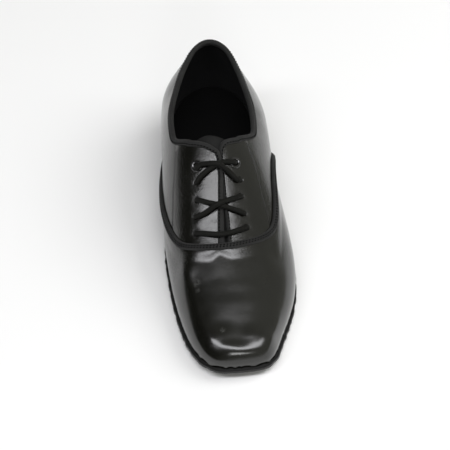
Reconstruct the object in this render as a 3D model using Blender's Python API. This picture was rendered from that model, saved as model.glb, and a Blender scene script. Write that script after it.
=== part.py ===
"""Latin dance shoe, right foot, laced oxford pattern on a low Cuban heel.

The toe points to -Y, the inner (big toe) side is +X and the floor is z = 0.
Every piece is drawn from one last surface: a closed feather line seen from
above, a ridge line seen from the side and a section table between them.
Tables and sizes are in millimetres; meshes are written in metres.
"""
import math

import bmesh
import bpy
import numpy as np

MM = 0.001
CENTRE_X = 1.92
CENTRE_ALONG = 140.51

LENGTH = 280.0
WALL = 2.0
GAP = 0.3

# Feather line, where the upper meets the sole, seen from above.
# Columns: distance from the toe tip, inner half width, outer half width.
FEATHER = (
    (0.0, 0.0, 0.0),
    (1.0, 14.0, 13.6),
    (4.0, 22.4, 20.8),
    (10.0, 27.6, 27.2),
    (17.0, 31.0, 31.5),
    (28.0, 35.5, 36.1),
    (50.0, 44.2, 41.2),
    (75.0, 50.2, 44.6),
    (100.0, 51.2, 46.4),
    (125.0, 48.0, 46.8),
    (155.0, 41.5, 44.2),
    (190.0, 36.0, 39.4),
    (225.0, 34.8, 36.8),
    (250.0, 32.8, 32.6),
    (267.0, 25.2, 22.8),
    (276.5, 14.3, 10.3),
    (280.0, 2.2, -2.2),
)

# Ridge of the last seen from the side, carried on over the open collar.
# Columns: distance from the toe tip, height above the floor.
RIDGE = (
    (30.0, 33.5),
    (58.0, 42.0),
    (87.0, 51.5),
    (120.0, 68.0),
    (150.0, 84.0),
    (185.0, 100.0),
    (220.0, 110.0),
    (255.0, 115.0),
)
RIDGE_OFFSET = -2.2
RIDGE_TILT = 0.12
TOE_POLE = 5.0
TOE_REACH = 27.0
HEEL_REACH = 26.0

# Section from feather to ridge: outward lean and height share of the wall
# handle, and length of the crown handle, for the inner and the outer side.
# Columns: distance, inner lean, wall, crown, outer lean, wall, crown.
SECTION = (
    (0.0, 0.12, 0.50, 0.72, 0.12, 0.50, 0.72),
    (30.0, 0.18, 0.50, 0.72, 0.15, 0.50, 0.72),
    (60.0, 0.32, 0.48, 0.66, 0.24, 0.48, 0.66),
    (95.0, 0.42, 0.42, 0.64, 0.30, 0.42, 0.62),
    (150.0, 0.58, 0.42, 0.60, 0.42, 0.42, 0.62),
    (200.0, 1.18, 0.383, -0.13, 0.787, 0.36, 0.478),
    (240.0, 1.09, 0.337, -0.335, 1.02, 0.338, -0.18),
    (265.0, 0.365, 0.363, 0.276, 0.56, 0.49, -0.42),
    (280.0, 0.33, 0.40, 0.64, 0.33, 0.40, 0.64),
)

# Topline seen from the side. Columns: distance, height.
TOPLINE = (
    (157.0, 91.0),
    (163.4, 87.6),
    (166.4, 86.0),
    (171.8, 81.6),
    (176.0, 77.8),
    (180.5, 75.0),
    (185.0, 74.2),
    (192.0, 74.4),
    (203.0, 75.0),
    (223.0, 77.5),
    (250.0, 82.5),
    (276.0, 89.5),
)

# Throat between the facings, the outer one nearly over the ridge.
# Columns: distance, gap from the ridge on the inner and on the outer side.
THROAT_START = 91.0
THROAT_END = 170.0
THROAT = (
    (91.0, 0.6, 0.6),
    (93.0, 2.8, 2.6),
    (97.0, 3.0, 2.2),
    (107.0, 2.9, 1.3),
    (117.0, 2.5, 0.7),
    (150.0, 2.5, 0.6),
    (153.7, 2.5, 0.9),
    (155.7, 2.6, 3.0),
    (158.0, 3.4, 6.0),
    (160.0, 4.6, 9.0),
    (161.5, 5.9, 11.5),
    (163.0, 8.3, 14.0),
    (165.6, 13.4, 18.2),
    (167.5, 17.0, 21.5),
)

# Underside of the shoe: toe spring, flat tread, rise of the shank, heel seat.
TOE_SPRING = 6.8
TREAD_START = 70.0
TREAD_END = 108.0
BREAST = 222.0
SEAT_HEIGHT = 28.0
SOLE_THICKNESS = 3.8
INSOLE_THICKNESS = 3.0
WELT_FORE = 2.1
WELT_WAIST = 0.7

# Heel: lifts under the seat and a thin top piece on the floor.
TOP_PIECE = 3.0
HEEL_TAPER = 0.90
HEEL_BREAST_RAKE = 4.0
HEEL_BACK_RAKE = 5.0

# Edge of the vamp over the quarters.
# Columns: share of the girth from the ridge (outer side negative), distance.
VAMP_EDGE = (
    (-0.96, 200.0),
    (-0.86, 172.0),
    (-0.76, 146.0),
    (-0.68, 128.5),
    (-0.613, 115.2),
    (-0.51, 100.4),
    (-0.435, 94.6),
    (-0.332, 89.6),
    (-0.202, 85.5),
    (-0.071, 83.5),
    (0.011, 83.5),
    (0.119, 86.5),
    (0.225, 90.7),
    (0.305, 95.0),
    (0.372, 100.3),
    (0.424, 106.5),
    (0.470, 119.0),
    (0.520, 135.0),
    (0.575, 148.2),
    (0.650, 162.0),
    (0.740, 175.0),
    (0.820, 184.5),
    (0.900, 192.0),
    (0.960, 196.5),
)
TAPE_HALF_WIDTH = 2.6
TAPE_THICKNESS = 1.5

# Binding folded over the topline and the facing edges.
BINDING_DEPTH = 3.4
BINDING_THICKNESS = 1.0
BINDING_INNER_GAP = 0.4

# Lace holes from the top pair down.
# Columns: distance and girth share on the inner side, then the outer side.
HOLES = (
    (147.2, 0.143, 146.4, 0.220),
    (135.0, 0.160, 134.5, 0.236),
    (122.8, 0.148, 122.5, 0.247),
    (110.3, 0.158, 111.1, 0.274),
    (100.2, 0.174, 99.1, 0.297),
)
HOLE_RADIUS = 2.2
EYELET_HOLE_RADIUS = 3.4
EYELET_FLANGE_RADIUS = 4.9
EYELET_BARREL_RADIUS = 3.0
EYELET_BORE_RADIUS = 2.4
EYELET_HEIGHT = 0.9

LACE_RADIUS = 2.0
LACE_END_HEIGHT = 3.5
LACE_CROWN_HEIGHT = 3.8
LACE_STEP = 2.5
# How far the middle of each strand bows towards the heel.
BAR_BOW = -6.5
LOWER_BOW = -1.7
UPPER_OVER_BOW = 5.2
UPPER_UNDER_BOW = 2.6

# Tongue under the facings. Columns: distance along the ridge, half width.
TONGUE = (
    (91.5, 15.0),
    (110.0, 19.0),
    (135.0, 22.5),
    (152.0, 24.0),
    (160.0, 22.5),
    (164.0, 18.0),
    (166.0, 10.0),
)
TONGUE_SKEW = 0.15
TONGUE_DEPTH = 3.9
TONGUE_THICKNESS = 2.0


class Curve:
    """Cubic curve with smooth curvature through the rows of a table."""

    def __init__(self, knots, values, closed=False):
        self.knots = np.asarray(knots, float)
        self.values = np.asarray(values, float)
        self.steps = np.diff(self.knots)
        count = len(self.knots) - 1 if closed else len(self.knots)
        system = np.zeros((count, count))
        right = np.zeros((count,) + self.values.shape[1:])
        slopes = (self.values[1:] - self.values[:-1])
        slopes = slopes / self.steps.reshape((-1,) + (1,) * (self.values.ndim - 1))
        for row in range(count):
            if not closed and row in (0, count - 1):
                system[row, row] = 1.0
                continue
            before = self.steps[row - 1]
            after = self.steps[row]
            system[row, (row - 1) % count] += before
            system[row, row] += 2.0 * (before + after)
            system[row, (row + 1) % count] += after
            right[row] = 6.0 * (slopes[row] - slopes[row - 1])
        bends = np.linalg.solve(system, right)
        self.bends = np.concatenate([bends, bends[:1]]) if closed else bends

    def __call__(self, where):
        where = np.asarray(where, float)
        cell = np.searchsorted(self.knots, where, side="right") - 1
        cell = np.clip(cell, 0, len(self.steps) - 1)
        done = where - self.knots[cell]
        left = self.knots[cell + 1] - where
        step = self.steps[cell]
        if self.values.ndim > 1:
            done, left, step = done[..., None], left[..., None], step[..., None]
        bent = self.bends[cell] * left ** 3 + self.bends[cell + 1] * done ** 3
        start = self.values[cell] / step - self.bends[cell] * step / 6.0
        end = self.values[cell + 1] / step - self.bends[cell + 1] * step / 6.0
        return bent / (6.0 * step) + start * left + end * done


def column(table, index):
    return np.array([row[index] for row in table])


def table_curve(table, index):
    return Curve(column(table, 0), column(table, index))


def ease(share):
    share = np.clip(share, 0.0, 1.0)
    return share * share * (3.0 - 2.0 * share)


def feather_halves():
    """Split the closed feather line into an inner and an outer half."""
    inner = [(row[1], row[0]) for row in FEATHER[:-1]]
    outer = [(-row[2], row[0]) for row in FEATHER[1:]]
    ring = np.array(inner + outer[::-1] + inner[:1])
    chords = np.linalg.norm(np.diff(ring, axis=0), axis=1)
    knots = np.concatenate([[0.0], np.cumsum(np.sqrt(chords))])
    line = Curve(knots, ring, closed=True)
    heel = knots[len(inner)]
    halves = {}
    for side, first in ((1, knots[0]), (-1, knots[-1])):
        points = line(np.linspace(first, heel, 2001))
        spans = np.linalg.norm(np.diff(points, axis=0), axis=1)
        run = np.concatenate([[0.0], np.cumsum(spans)])
        tangent = np.gradient(points, axis=0)
        tangent /= np.linalg.norm(tangent, axis=1)[:, None]
        outward = side * np.stack([tangent[:, 1], -tangent[:, 0]], -1)
        halves[side] = (run / run[-1], points, outward)
    return halves


HALVES = feather_halves()
RIDGE_CURVE = table_curve(RIDGE, 1)
TOPLINE_CURVE = table_curve(TOPLINE, 1)
VAMP_EDGE_CURVE = table_curve(VAMP_EDGE, 1)
TONGUE_CURVE = table_curve(TONGUE, 1)
SECTION_CURVES = {
    1: [table_curve(SECTION, index) for index in (1, 2, 3)],
    -1: [table_curve(SECTION, index) for index in (4, 5, 6)],
}


def underside(along):
    """Height of the bottom of the outsole."""
    spring = TOE_SPRING * np.clip((TREAD_START - along) / TREAD_START, 0.0, None) ** 2
    shank = SEAT_HEIGHT * ease((along - TREAD_END) / (BREAST - TREAD_END))
    return spring + shank


def feather(side, line):
    """Point and outward direction of the feather line, line from 0 toe to 1 heel."""
    share, points, outward = HALVES[side]
    x = np.interp(line, share, points[:, 0])
    along = np.interp(line, share, points[:, 1])
    nx = np.interp(line, share, outward[:, 0])
    ny = np.interp(line, share, outward[:, 1])
    return x, along, np.stack([nx, ny], -1)


def mean_along(line):
    return 0.5 * (feather(1, line)[1] + feather(-1, line)[1])


def line_at(along):
    """Section whose two feather ends lie on average at this distance."""
    everywhere = np.linspace(0.0, 1.0, 4001)
    return np.interp(along, mean_along(everywhere), everywhere)


def ridge_point(line):
    """Ridge end of a section, with the slope of the ridge there."""
    mean = mean_along(line)
    toe = TOE_POLE + np.hypot(np.clip(mean - TOE_POLE, 0.0, None), TOE_REACH) - mean
    to_heel = LENGTH - mean
    heel = np.hypot(to_heel, HEEL_REACH) - to_heel
    along = mean + toe - heel
    x = RIDGE_OFFSET * ease(along / 100.0) * ease((LENGTH - along) / 80.0)
    slope = RIDGE_CURVE(along + 0.5) - RIDGE_CURVE(along - 0.5)
    tilt = RIDGE_TILT * ease((along - 45.0) / 60.0)
    return np.stack([x, along, RIDGE_CURVE(along)], -1), slope, tilt


def surface(side, line, rise):
    """Outside of the upper; rise goes from 0 at the feather to 1 at the ridge."""
    line = np.asarray(line, float)
    rise = np.asarray(rise, float)[..., None]
    x, along, outward = feather(side, line)
    height = underside(along) + SOLE_THICKNESS + GAP
    foot = np.stack([x, along, height], -1)
    top, slope, tilt = ridge_point(line)
    lean, wall, crown = [curve(along) for curve in SECTION_CURVES[side]]
    reach = wall * (top[..., 2] - height)
    handle = np.stack([outward[..., 0] * lean * reach, outward[..., 1] * lean * reach, reach], -1)
    span_x = x - top[..., 0]
    span_y = along - top[..., 1]
    span = np.stack([span_x, span_y, span_y * slope - span_x * tilt], -1)
    second = foot + handle
    third = top + span * crown[..., None]
    low = 1.0 - rise
    return (
        foot * low ** 3
        + 3.0 * second * rise * low ** 2
        + 3.0 * third * rise ** 2 * low
        + top * rise ** 3
    )


def slopes_at(side, line, rise):
    step = 0.0005
    line = np.clip(line, step, 1.0 - step)
    rise = np.clip(rise, step, 0.996)
    by_line = surface(side, line + step, rise) - surface(side, line - step, rise)
    by_rise = surface(side, line, rise + step) - surface(side, line, rise - step)
    return by_line / (2.0 * step), by_rise / (2.0 * step)


def outward_normal(side, line, rise):
    by_line, by_rise = slopes_at(side, line, rise)
    normal = side * np.cross(by_line, by_rise)
    normal = normal / np.linalg.norm(normal, axis=-1)[..., None]
    top, slope, tilt = ridge_point(np.asarray(line, float))
    crest = np.stack([tilt, -slope, np.ones_like(slope)], -1)
    crest = crest / np.linalg.norm(crest, axis=-1)[..., None]
    blend = ease((np.asarray(rise, float) - 0.96) / 0.04)[..., None]
    mixed = normal * (1.0 - blend) + crest * blend
    return mixed / np.linalg.norm(mixed, axis=-1)[..., None]


def skin(side, line, rise, height):
    """Point at a height above the outside of the upper."""
    return surface(side, line, rise) + outward_normal(side, line, rise) * height


def walk(side, line, rise, direction, distance):
    """Move on the surface by a distance in a direction tangent to it."""
    by_line, by_rise = slopes_at(side, line, rise)
    basis = np.stack([by_line, by_rise], -1)
    target = np.asarray(direction) * distance
    step = np.linalg.lstsq(basis, target, rcond=None)[0]
    return np.clip(line + step[0], 0.0, 1.0), np.clip(rise + step[1], 0.0, 1.0)


def throat(side, along):
    values = np.interp(along, column(THROAT, 0), column(THROAT, 1 if side > 0 else 2))
    return np.where((along < THROAT_START) | (along > THROAT_END), -1.0, values)


def top_edge(side, lines):
    """Rise at which each section is cut by the topline or by the throat."""
    samples = np.linspace(0.0, 1.0, 401)
    edge = []
    for line in np.atleast_1d(lines):
        points = surface(side, np.full(401, line), samples)
        ridge_x = ridge_point(np.array([line]))[0][0, 0]
        above = np.where(
            points[:, 1] < TOPLINE[0][0],
            -1.0,
            points[:, 2] - TOPLINE_CURVE(np.clip(points[:, 1], TOPLINE[0][0], LENGTH)),
        )
        open_share = throat(side, points[:, 1]) - np.abs(points[:, 0] - ridge_x)
        outside = np.maximum(above, np.where(points[:, 1] < THROAT_END, open_share, -1.0))
        first = int(np.argmax(outside > 0.0))
        if outside[first] <= 0.0:
            edge.append(1.0)
            continue
        before, after = outside[first - 1], outside[first]
        edge.append(samples[first - 1] + (samples[1]) * before / (before - after))
    return np.array(edge)


def material(name, color, roughness, metallic=0.0):
    made = bpy.data.materials.new(name)
    made.use_nodes = True
    shader = made.node_tree.nodes["Principled BSDF"]
    shader.inputs["Base Color"].default_value = (*color, 1.0)
    shader.inputs["Roughness"].default_value = roughness
    shader.inputs["Metallic"].default_value = metallic
    made.diffuse_color = (*color, 1.0)
    return made


def add_piece(name, points, faces, look, smooth=True):
    """Write one closed piece, welding rows that share an edge."""
    shift = np.array([CENTRE_X, CENTRE_ALONG, 0.0])
    mesh = bpy.data.meshes.new(name)
    built = bmesh.new()
    corners = [built.verts.new((point - shift) * MM) for point in np.asarray(points, float)]
    for face in faces:
        if len(set(face)) > 2:
            built.faces.new([corners[index] for index in face])
    bmesh.ops.remove_doubles(built, verts=built.verts, dist=0.00005)
    bmesh.ops.dissolve_degenerate(built, edges=built.edges, dist=0.000001)
    bmesh.ops.triangulate(built, faces=built.faces)
    bmesh.ops.recalc_face_normals(built, faces=built.faces)
    for face in built.faces:
        face.smooth = smooth
    built.to_mesh(mesh)
    built.free()
    mesh.materials.append(look)
    piece = bpy.data.objects.new(name, mesh)
    bpy.context.collection.objects.link(piece)
    return piece


def grid_faces(rows, columns, first=0):
    faces = []
    for row in range(rows - 1):
        for place in range(columns - 1):
            corner = first + row * columns + place
            faces.append((corner, corner + 1, corner + columns + 1, corner + columns))
    return faces


def hide_cutter(piece):
    piece.hide_render = True
    piece.display_type = "WIRE"


def combine(piece, other, operation):
    step = piece.modifiers.new(operation.lower(), "BOOLEAN")
    step.operation = operation
    step.solver = "EXACT"
    step.object = other
    hide_cutter(other)


def section_lines():
    """Sections of the upper: even along the toe and heel, closer at the throat."""
    marks = (24.0, 86.9, 88.7, 151.0, 186.0, 250.0)
    counts = (9, 1, 8, 9, 7)
    lines = list(np.linspace(0.0, line_at(marks[0]), 13))
    for start, end, count in zip(marks[:-1], marks[1:], counts):
        lines.extend(line_at(np.linspace(start, end, count + 1)[1:]))
    lines.extend(np.linspace(lines[-1], 1.0, 9)[1:])
    return np.array(lines)


UPPER_ROWS = 12


def build_upper(look):
    """Hollow upper: outside, inside one wall in, closed at the cut edges."""
    lines = section_lines()
    points = []
    faces = []
    for side in (1, -1):
        edge = top_edge(side, lines)
        layers = []
        for depth in (0.0, -WALL):
            layers.append(len(points))
            for line, limit in zip(lines, edge):
                rises = limit * np.linspace(0.0, 1.0, UPPER_ROWS + 1)
                points.extend(skin(side, np.full(UPPER_ROWS + 1, line), rises, depth))
        columns = UPPER_ROWS + 1
        outside, inside = layers
        faces += grid_faces(len(lines), columns, outside)
        faces += grid_faces(len(lines), columns, inside)
        for row in range(len(lines) - 1):
            low, high = outside + row * columns, outside + (row + 1) * columns
            low_in, high_in = inside + row * columns, inside + (row + 1) * columns
            faces.append((low, high, high_in, low_in))
            if edge[row] < 1.0 or edge[row + 1] < 1.0:
                top = UPPER_ROWS
                faces.append((low + top, high + top, high_in + top, low_in + top))
    return add_piece("upper", points, faces, look)


def hole_places():
    """Centre and outward direction of every lace hole, top pair first."""
    places = []
    for index, row in enumerate(HOLES):
        for side, along, girth in ((1, row[0], row[1]), (-1, row[2], row[3])):
            line = line_at(along)
            rise = 1.0 - girth
            centre = surface(side, line, rise)
            normal = outward_normal(side, line, rise)
            places.append((index, side, line, rise, centre, normal))
    return places


def frame_about(normal):
    across = np.cross(normal, (0.0, 1.0, 0.0))
    across /= np.linalg.norm(across)
    return across, np.cross(normal, across)


def turned(centre, normal, profile, sides):
    """Ring of a closed profile of (radius, height) rows about a normal."""
    across, second = frame_about(normal)
    points = []
    for step in range(sides):
        angle = 2.0 * math.pi * step / sides
        out = math.cos(angle) * across + math.sin(angle) * second
        for radius, height in profile:
            points.append(centre + out * radius + normal * height)
    faces = []
    width = len(profile)
    for step in range(sides):
        here, there = step * width, (step + 1) % sides * width
        for place in range(width):
            after = (place + 1) % width
            faces.append((here + place, here + after, there + after, there + place))
    return points, faces


def cut_holes(upper, look):
    points = []
    faces = []
    for index, side, line, rise, centre, normal in hole_places():
        radius = EYELET_HOLE_RADIUS if index == 0 else HOLE_RADIUS
        across, second = frame_about(normal)
        first = len(points)
        sides = 16 if index == 0 else 12
        for height in (-WALL - 3.0, 3.0):
            for step in range(sides):
                angle = 2.0 * math.pi * step / sides
                out = math.cos(angle) * across + math.sin(angle) * second
                points.append(centre + out * radius + normal * height)
        low = [first + step for step in range(sides)]
        high = [first + sides + step for step in range(sides)]
        faces.append(low)
        faces.append(high)
        for step in range(sides):
            after = (step + 1) % sides
            faces.append((low[step], low[after], high[after], high[step]))
    cutter = add_piece("hole_cutter", points, faces, look, smooth=False)
    combine(upper, cutter, "DIFFERENCE")


def build_eyelets(look):
    """Metal rings with a short barrel in the top pair of holes."""
    profile = (
        (EYELET_BORE_RADIUS, -WALL),
        (EYELET_BARREL_RADIUS, -WALL),
        (EYELET_BARREL_RADIUS, GAP),
        (EYELET_FLANGE_RADIUS, GAP),
        (EYELET_FLANGE_RADIUS - 0.3, GAP + 0.6 * EYELET_HEIGHT),
        (0.5 * (EYELET_FLANGE_RADIUS + EYELET_BORE_RADIUS), GAP + EYELET_HEIGHT),
        (EYELET_BORE_RADIUS, GAP + 0.5 * EYELET_HEIGHT),
    )
    for index, side, line, rise, centre, normal in hole_places()[:2]:
        name = "eyelet_inner" if side > 0 else "eyelet_outer"
        points, faces = turned(centre, normal, profile, 20)
        add_piece(name, points, faces, look)


def sweep(sections, closed=False):
    """Faces along a run of equal closed sections, capped at both ends."""
    width = len(sections[0])
    points = [point for section in sections for point in section]
    faces = []
    runs = len(sections)
    for row in range(runs if closed else runs - 1):
        here, there = row * width, (row + 1) % runs * width
        for place in range(width):
            after = (place + 1) % width
            faces.append((here + place, here + after, there + after, there + place))
    if not closed:
        faces.append(tuple(range(width)))
        faces.append(tuple((runs - 1) * width + place for place in range(width)))
    return points, faces


def edge_run():
    """Cut edge from the foot of the throat, round the heel and back."""
    lines = section_lines()
    inner = [(1, line) for line, rise in zip(lines, top_edge(1, lines)) if rise < 1.0]
    outer = [(-1, line) for line, rise in zip(lines, top_edge(-1, lines)) if rise < 1.0]
    return inner + outer[::-1][1:]


def build_collar_binding(look):
    """Folded strip over the cut edge, clear of the wall on all three faces."""
    run = edge_run()
    rises = [float(top_edge(side, line)[0]) for side, line in run]
    edge = [surface(side, line, rise) for (side, line), rise in zip(run, rises)]
    sections = []
    outer = GAP + BINDING_THICKNESS
    for index, (side, line) in enumerate(run):
        before, after = max(index - 1, 0), min(index + 1, len(run) - 1)
        normal = outward_normal(side, line, rises[index])
        tangent = edge[after] - edge[before]
        tangent -= normal * np.dot(tangent, normal)
        tangent /= np.linalg.norm(tangent)
        inward = np.cross(normal, tangent)
        if np.dot(inward, slopes_at(side, line, rises[index])[1]) > 0.0:
            inward = -inward
        deep = walk(side, line, rises[index], inward, BINDING_DEPTH)
        over = edge[index] - inward * GAP
        lip = edge[index] - inward * outer
        sections.append(
            [
                skin(side, *deep, GAP),
                skin(side, *deep, 0.8 * outer),
                over + normal * outer,
                lip - normal * 0.3,
                lip - normal * (WALL - 0.3),
                over - normal * (WALL + outer),
                skin(side, *deep, -WALL - outer),
                skin(side, *deep, -WALL - BINDING_INNER_GAP),
                over - normal * (WALL + BINDING_INNER_GAP),
                over + normal * GAP,
            ]
        )
    points, faces = sweep(sections)
    add_piece("collar_binding", points, faces, look)


def build_vamp_binding(look):
    """Tape along the front edge of the vamp, lying on the upper."""
    shares = np.linspace(VAMP_EDGE[0][0], VAMP_EDGE[-1][0], 81)
    places = []
    for share in shares:
        side = 1 if share >= 0.0 else -1
        places.append((side, line_at(VAMP_EDGE_CURVE(share)), 1.0 - abs(share)))
    middle = [surface(*place) for place in places]
    sections = []
    for index, (side, line, rise) in enumerate(places):
        before, after = max(index - 1, 0), min(index + 1, len(places) - 1)
        normal = outward_normal(side, line, rise)
        tangent = middle[after] - middle[before]
        tangent -= normal * np.dot(tangent, normal)
        tangent /= np.linalg.norm(tangent)
        across = np.cross(normal, tangent)
        back = walk(side, line, rise, across, TAPE_HALF_WIDTH)
        front = walk(side, line, rise, across, -TAPE_HALF_WIDTH)
        sections.append(
            [
                skin(side, *back, GAP),
                skin(side, *back, GAP + 0.7 * TAPE_THICKNESS),
                skin(side, line, rise, GAP + TAPE_THICKNESS),
                skin(side, *front, GAP + 0.7 * TAPE_THICKNESS),
                skin(side, *front, GAP),
                skin(side, line, rise, GAP),
            ]
        )
    points, faces = sweep(sections)
    add_piece("vamp_binding", points, faces, look)


def tube(path, radius, sides=8):
    """Round cord along a path, with a frame carried along without twist."""
    path = np.asarray(path, float)
    tangents = np.gradient(path, axis=0)
    tangents /= np.linalg.norm(tangents, axis=1)[:, None]
    side_way = np.cross(tangents[0], (0.0, 0.0, 1.0))
    sections = []
    for point, tangent in zip(path, tangents):
        side_way = side_way - tangent * np.dot(side_way, tangent)
        side_way /= np.linalg.norm(side_way)
        up_way = np.cross(tangent, side_way)
        ring = []
        for step in range(sides):
            angle = 2.0 * math.pi * (step + 0.5) / sides
            ring.append(point + radius * (math.cos(angle) * side_way + math.sin(angle) * up_way))
        sections.append(ring)
    return sweep(sections)


def strand(start, end, lift, sag):
    """Path from hole to hole over the throat, lifted where strands cross."""
    path = []
    first = np.array([start[1] * (1.0 - start[3]), start[2]])
    last = np.array([end[1] * (1.0 - end[3]), end[2]])
    length = np.linalg.norm(start[4] - end[4])
    for share in np.linspace(0.0, 1.0, int(length / LACE_STEP) + 1):
        girth, line = first * (1.0 - share) + last * share
        side = 1 if girth >= 0.0 else -1
        bow = math.sin(math.pi * share)
        line = line_at(mean_along(line) + sag * bow)
        height = LACE_END_HEIGHT + (LACE_CROWN_HEIGHT - LACE_END_HEIGHT) * bow
        height += lift * math.exp(-((share - 0.5) / 0.16) ** 2)
        path.append(skin(side, line, 1.0 - abs(girth), height))
    return path


def build_laces(look):
    """Bar over the lowest pair of holes and two crossings above it."""
    holes = {(place[0], place[1]): place for place in hole_places()}
    points, faces = tube(strand(holes[4, -1], holes[4, 1], 0.0, BAR_BOW), LACE_RADIUS)
    add_piece("lace_bar", points, faces, look)
    crossings = (
        ("lace_cross_lower", holes[3, -1], holes[2, 1], LOWER_BOW, holes[2, -1], holes[3, 1], LOWER_BOW),
        ("lace_cross_upper", holes[0, -1], holes[1, 1], UPPER_OVER_BOW, holes[1, -1], holes[0, 1], UPPER_UNDER_BOW),
    )
    for name, over_start, over_end, over_bow, under_start, under_end, under_bow in crossings:
        points, faces = tube(strand(under_start, under_end, 0.0, under_bow), LACE_RADIUS)
        piece = add_piece(name, points, faces, look)
        points, faces = tube(strand(over_start, over_end, 1.5 * LACE_RADIUS, over_bow), LACE_RADIUS)
        other = add_piece(name + "_strand", points, faces, look)
        combine(piece, other, "UNION")


def build_tongue(look):
    """Tongue under the facings, rounded at the top."""
    everywhere = np.linspace(0.0, 1.0, 4001)
    ridge_along = ridge_point(everywhere)[0][:, 1]
    stations = np.concatenate([np.linspace(91.5, 150.0, 9), np.linspace(155.0, TONGUE[-1][0], 6)])
    across = np.linspace(-1.0, 1.0, 9)
    layers = []
    for depth in (TONGUE_DEPTH, TONGUE_DEPTH + TONGUE_THICKNESS):
        layer = []
        for station in stations:
            for share in across:
                side = 1 if share >= 0.0 else -1
                slant = TONGUE_SKEW * ease((station - 135.0) / 25.0) * share * TONGUE_CURVE(station)
                line = np.interp(station - slant, ridge_along, everywhere)
                samples = np.linspace(1.0, 0.4, 121)
                drape = surface(side, np.full(121, line), samples)
                spans = np.linalg.norm(np.diff(drape, axis=0), axis=1)
                run = np.concatenate([[0.0], np.cumsum(spans)])
                rise = np.interp(abs(share) * TONGUE_CURVE(station), run, samples)
                layer.append(skin(side, line, rise, -depth))
        layers.append(layer)
    add_sheet("tongue", layers, len(stations), len(across), look)


def add_sheet(name, layers, rows, columns, look):
    """Piece between two grids of points, closed round its border."""
    points = layers[0] + layers[1]
    second = rows * columns
    faces = grid_faces(rows, columns) + grid_faces(rows, columns, second)
    border = [place for place in range(columns)]
    border += [row * columns + columns - 1 for row in range(1, rows)]
    border += [(rows - 1) * columns + place for place in range(columns - 2, -1, -1)]
    border += [row * columns for row in range(rows - 2, 0, -1)]
    for here, there in zip(border, border[1:] + border[:1]):
        faces.append((here, there, second + there, second + here))
    return add_piece(name, points, faces, look)


def sole_lines():
    toe = np.linspace(0.004, line_at(24.0), 10)
    stops = np.concatenate(
        [
            np.linspace(24.0, TREAD_START, 7)[1:],
            np.linspace(TREAD_START, TREAD_END, 5)[1:],
            np.linspace(TREAD_END, BREAST, 11)[1:],
            np.linspace(BREAST, 254.0, 5)[1:],
        ]
    )
    middle = line_at(stops)
    heel = np.linspace(middle[-1], 0.996, 9)[1:]
    return np.concatenate([toe, middle, heel])


def welt(along):
    fall = ease((along - 105.0) / 55.0)
    return WELT_FORE * (1.0 - fall) + WELT_WAIST * fall


def sole_sheet(name, margin, low, high, look):
    """Sheet following the underside, its outline set off from the feather."""
    lines = sole_lines()
    across = np.linspace(0.0, 1.0, 4)
    layers = [[], []]
    for line in lines:
        ends = []
        for side in (-1, 1):
            x, along, outward = feather(side, line)
            offset = margin(along)
            ends.append(np.array([x, along]) + outward * offset)
        for share in across:
            x, along = ends[0] * (1.0 - share) + ends[1] * share
            base = float(underside(along))
            layers[0].append(np.array([x, along, base + low]))
            layers[1].append(np.array([x, along, base + high]))
    return add_sheet(name, layers, len(lines), len(across), look)


def build_heel(block_look, piece_look):
    """Stacked block from the seat down, raked at breast and back, and top piece."""
    lines = np.linspace(line_at(BREAST + 3.0), 1.0, 13)
    ring = []
    for side, order in ((1, lines), (-1, lines[::-1][1:])):
        for line in order:
            x, along, outward = feather(side, line)
            ring.append(np.array([x, along]) + outward * WELT_WAIST)
    ring = np.array(ring)
    middle_along = 0.5 * (BREAST + LENGTH)

    def ring_at(height):
        down = 1.0 - height / (SEAT_HEIGHT - GAP)
        size = 1.0 - (1.0 - HEEL_TAPER) * down
        x = ring[:, 0] * size
        along = ring[:, 1]
        front = ease((middle_along - along) / 25.0)
        back = ease((along - middle_along) / 30.0)
        along = along + HEEL_BREAST_RAKE * down * front - HEEL_BACK_RAKE * down * back
        return [np.array([px, py, height]) for px, py in zip(x, along)]

    heights = np.linspace(TOP_PIECE + GAP, SEAT_HEIGHT - GAP, 5)
    points, faces = sweep([ring_at(height) for height in heights])
    add_piece("heel_block", points, faces, block_look)
    points, faces = sweep([ring_at(0.0), ring_at(TOP_PIECE)])
    add_piece("heel_top_piece", points, faces, piece_look, smooth=False)


for old in list(bpy.data.objects):
    bpy.data.objects.remove(old, do_unlink=True)

leather = material("black_leather", (0.022, 0.022, 0.024), 0.38)
tongue_leather = material("tongue_leather", (0.024, 0.024, 0.026), 0.48)
tape = material("binding_tape", (0.012, 0.012, 0.013), 0.85)
suede = material("sole_suede", (0.030, 0.029, 0.029), 0.95)
lining = material("insole_lining", (0.014, 0.014, 0.015), 0.90)
heel_black = material("heel_stack", (0.016, 0.016, 0.017), 0.45)
rubber = material("top_piece_rubber", (0.020, 0.020, 0.020), 0.80)
cord = material("lace_cord", (0.010, 0.010, 0.011), 0.75)
metal = material("eyelet_metal", (0.22, 0.22, 0.23), 0.25, 1.0)

upper_piece = build_upper(leather)
cut_holes(upper_piece, leather)
build_collar_binding(tape)
build_vamp_binding(tape)
build_eyelets(metal)
build_laces(cord)
build_tongue(tongue_leather)
sole_sheet("outsole", welt, 0.0, SOLE_THICKNESS, suede)
sole_sheet(
    "insole",
    lambda along: -(WALL + 0.6),
    SOLE_THICKNESS + GAP,
    SOLE_THICKNESS + GAP + INSOLE_THICKNESS,
    lining,
)
build_heel(heel_black, rubber)
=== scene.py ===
"""Black leather latin dance shoe for the right foot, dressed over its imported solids."""

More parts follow.
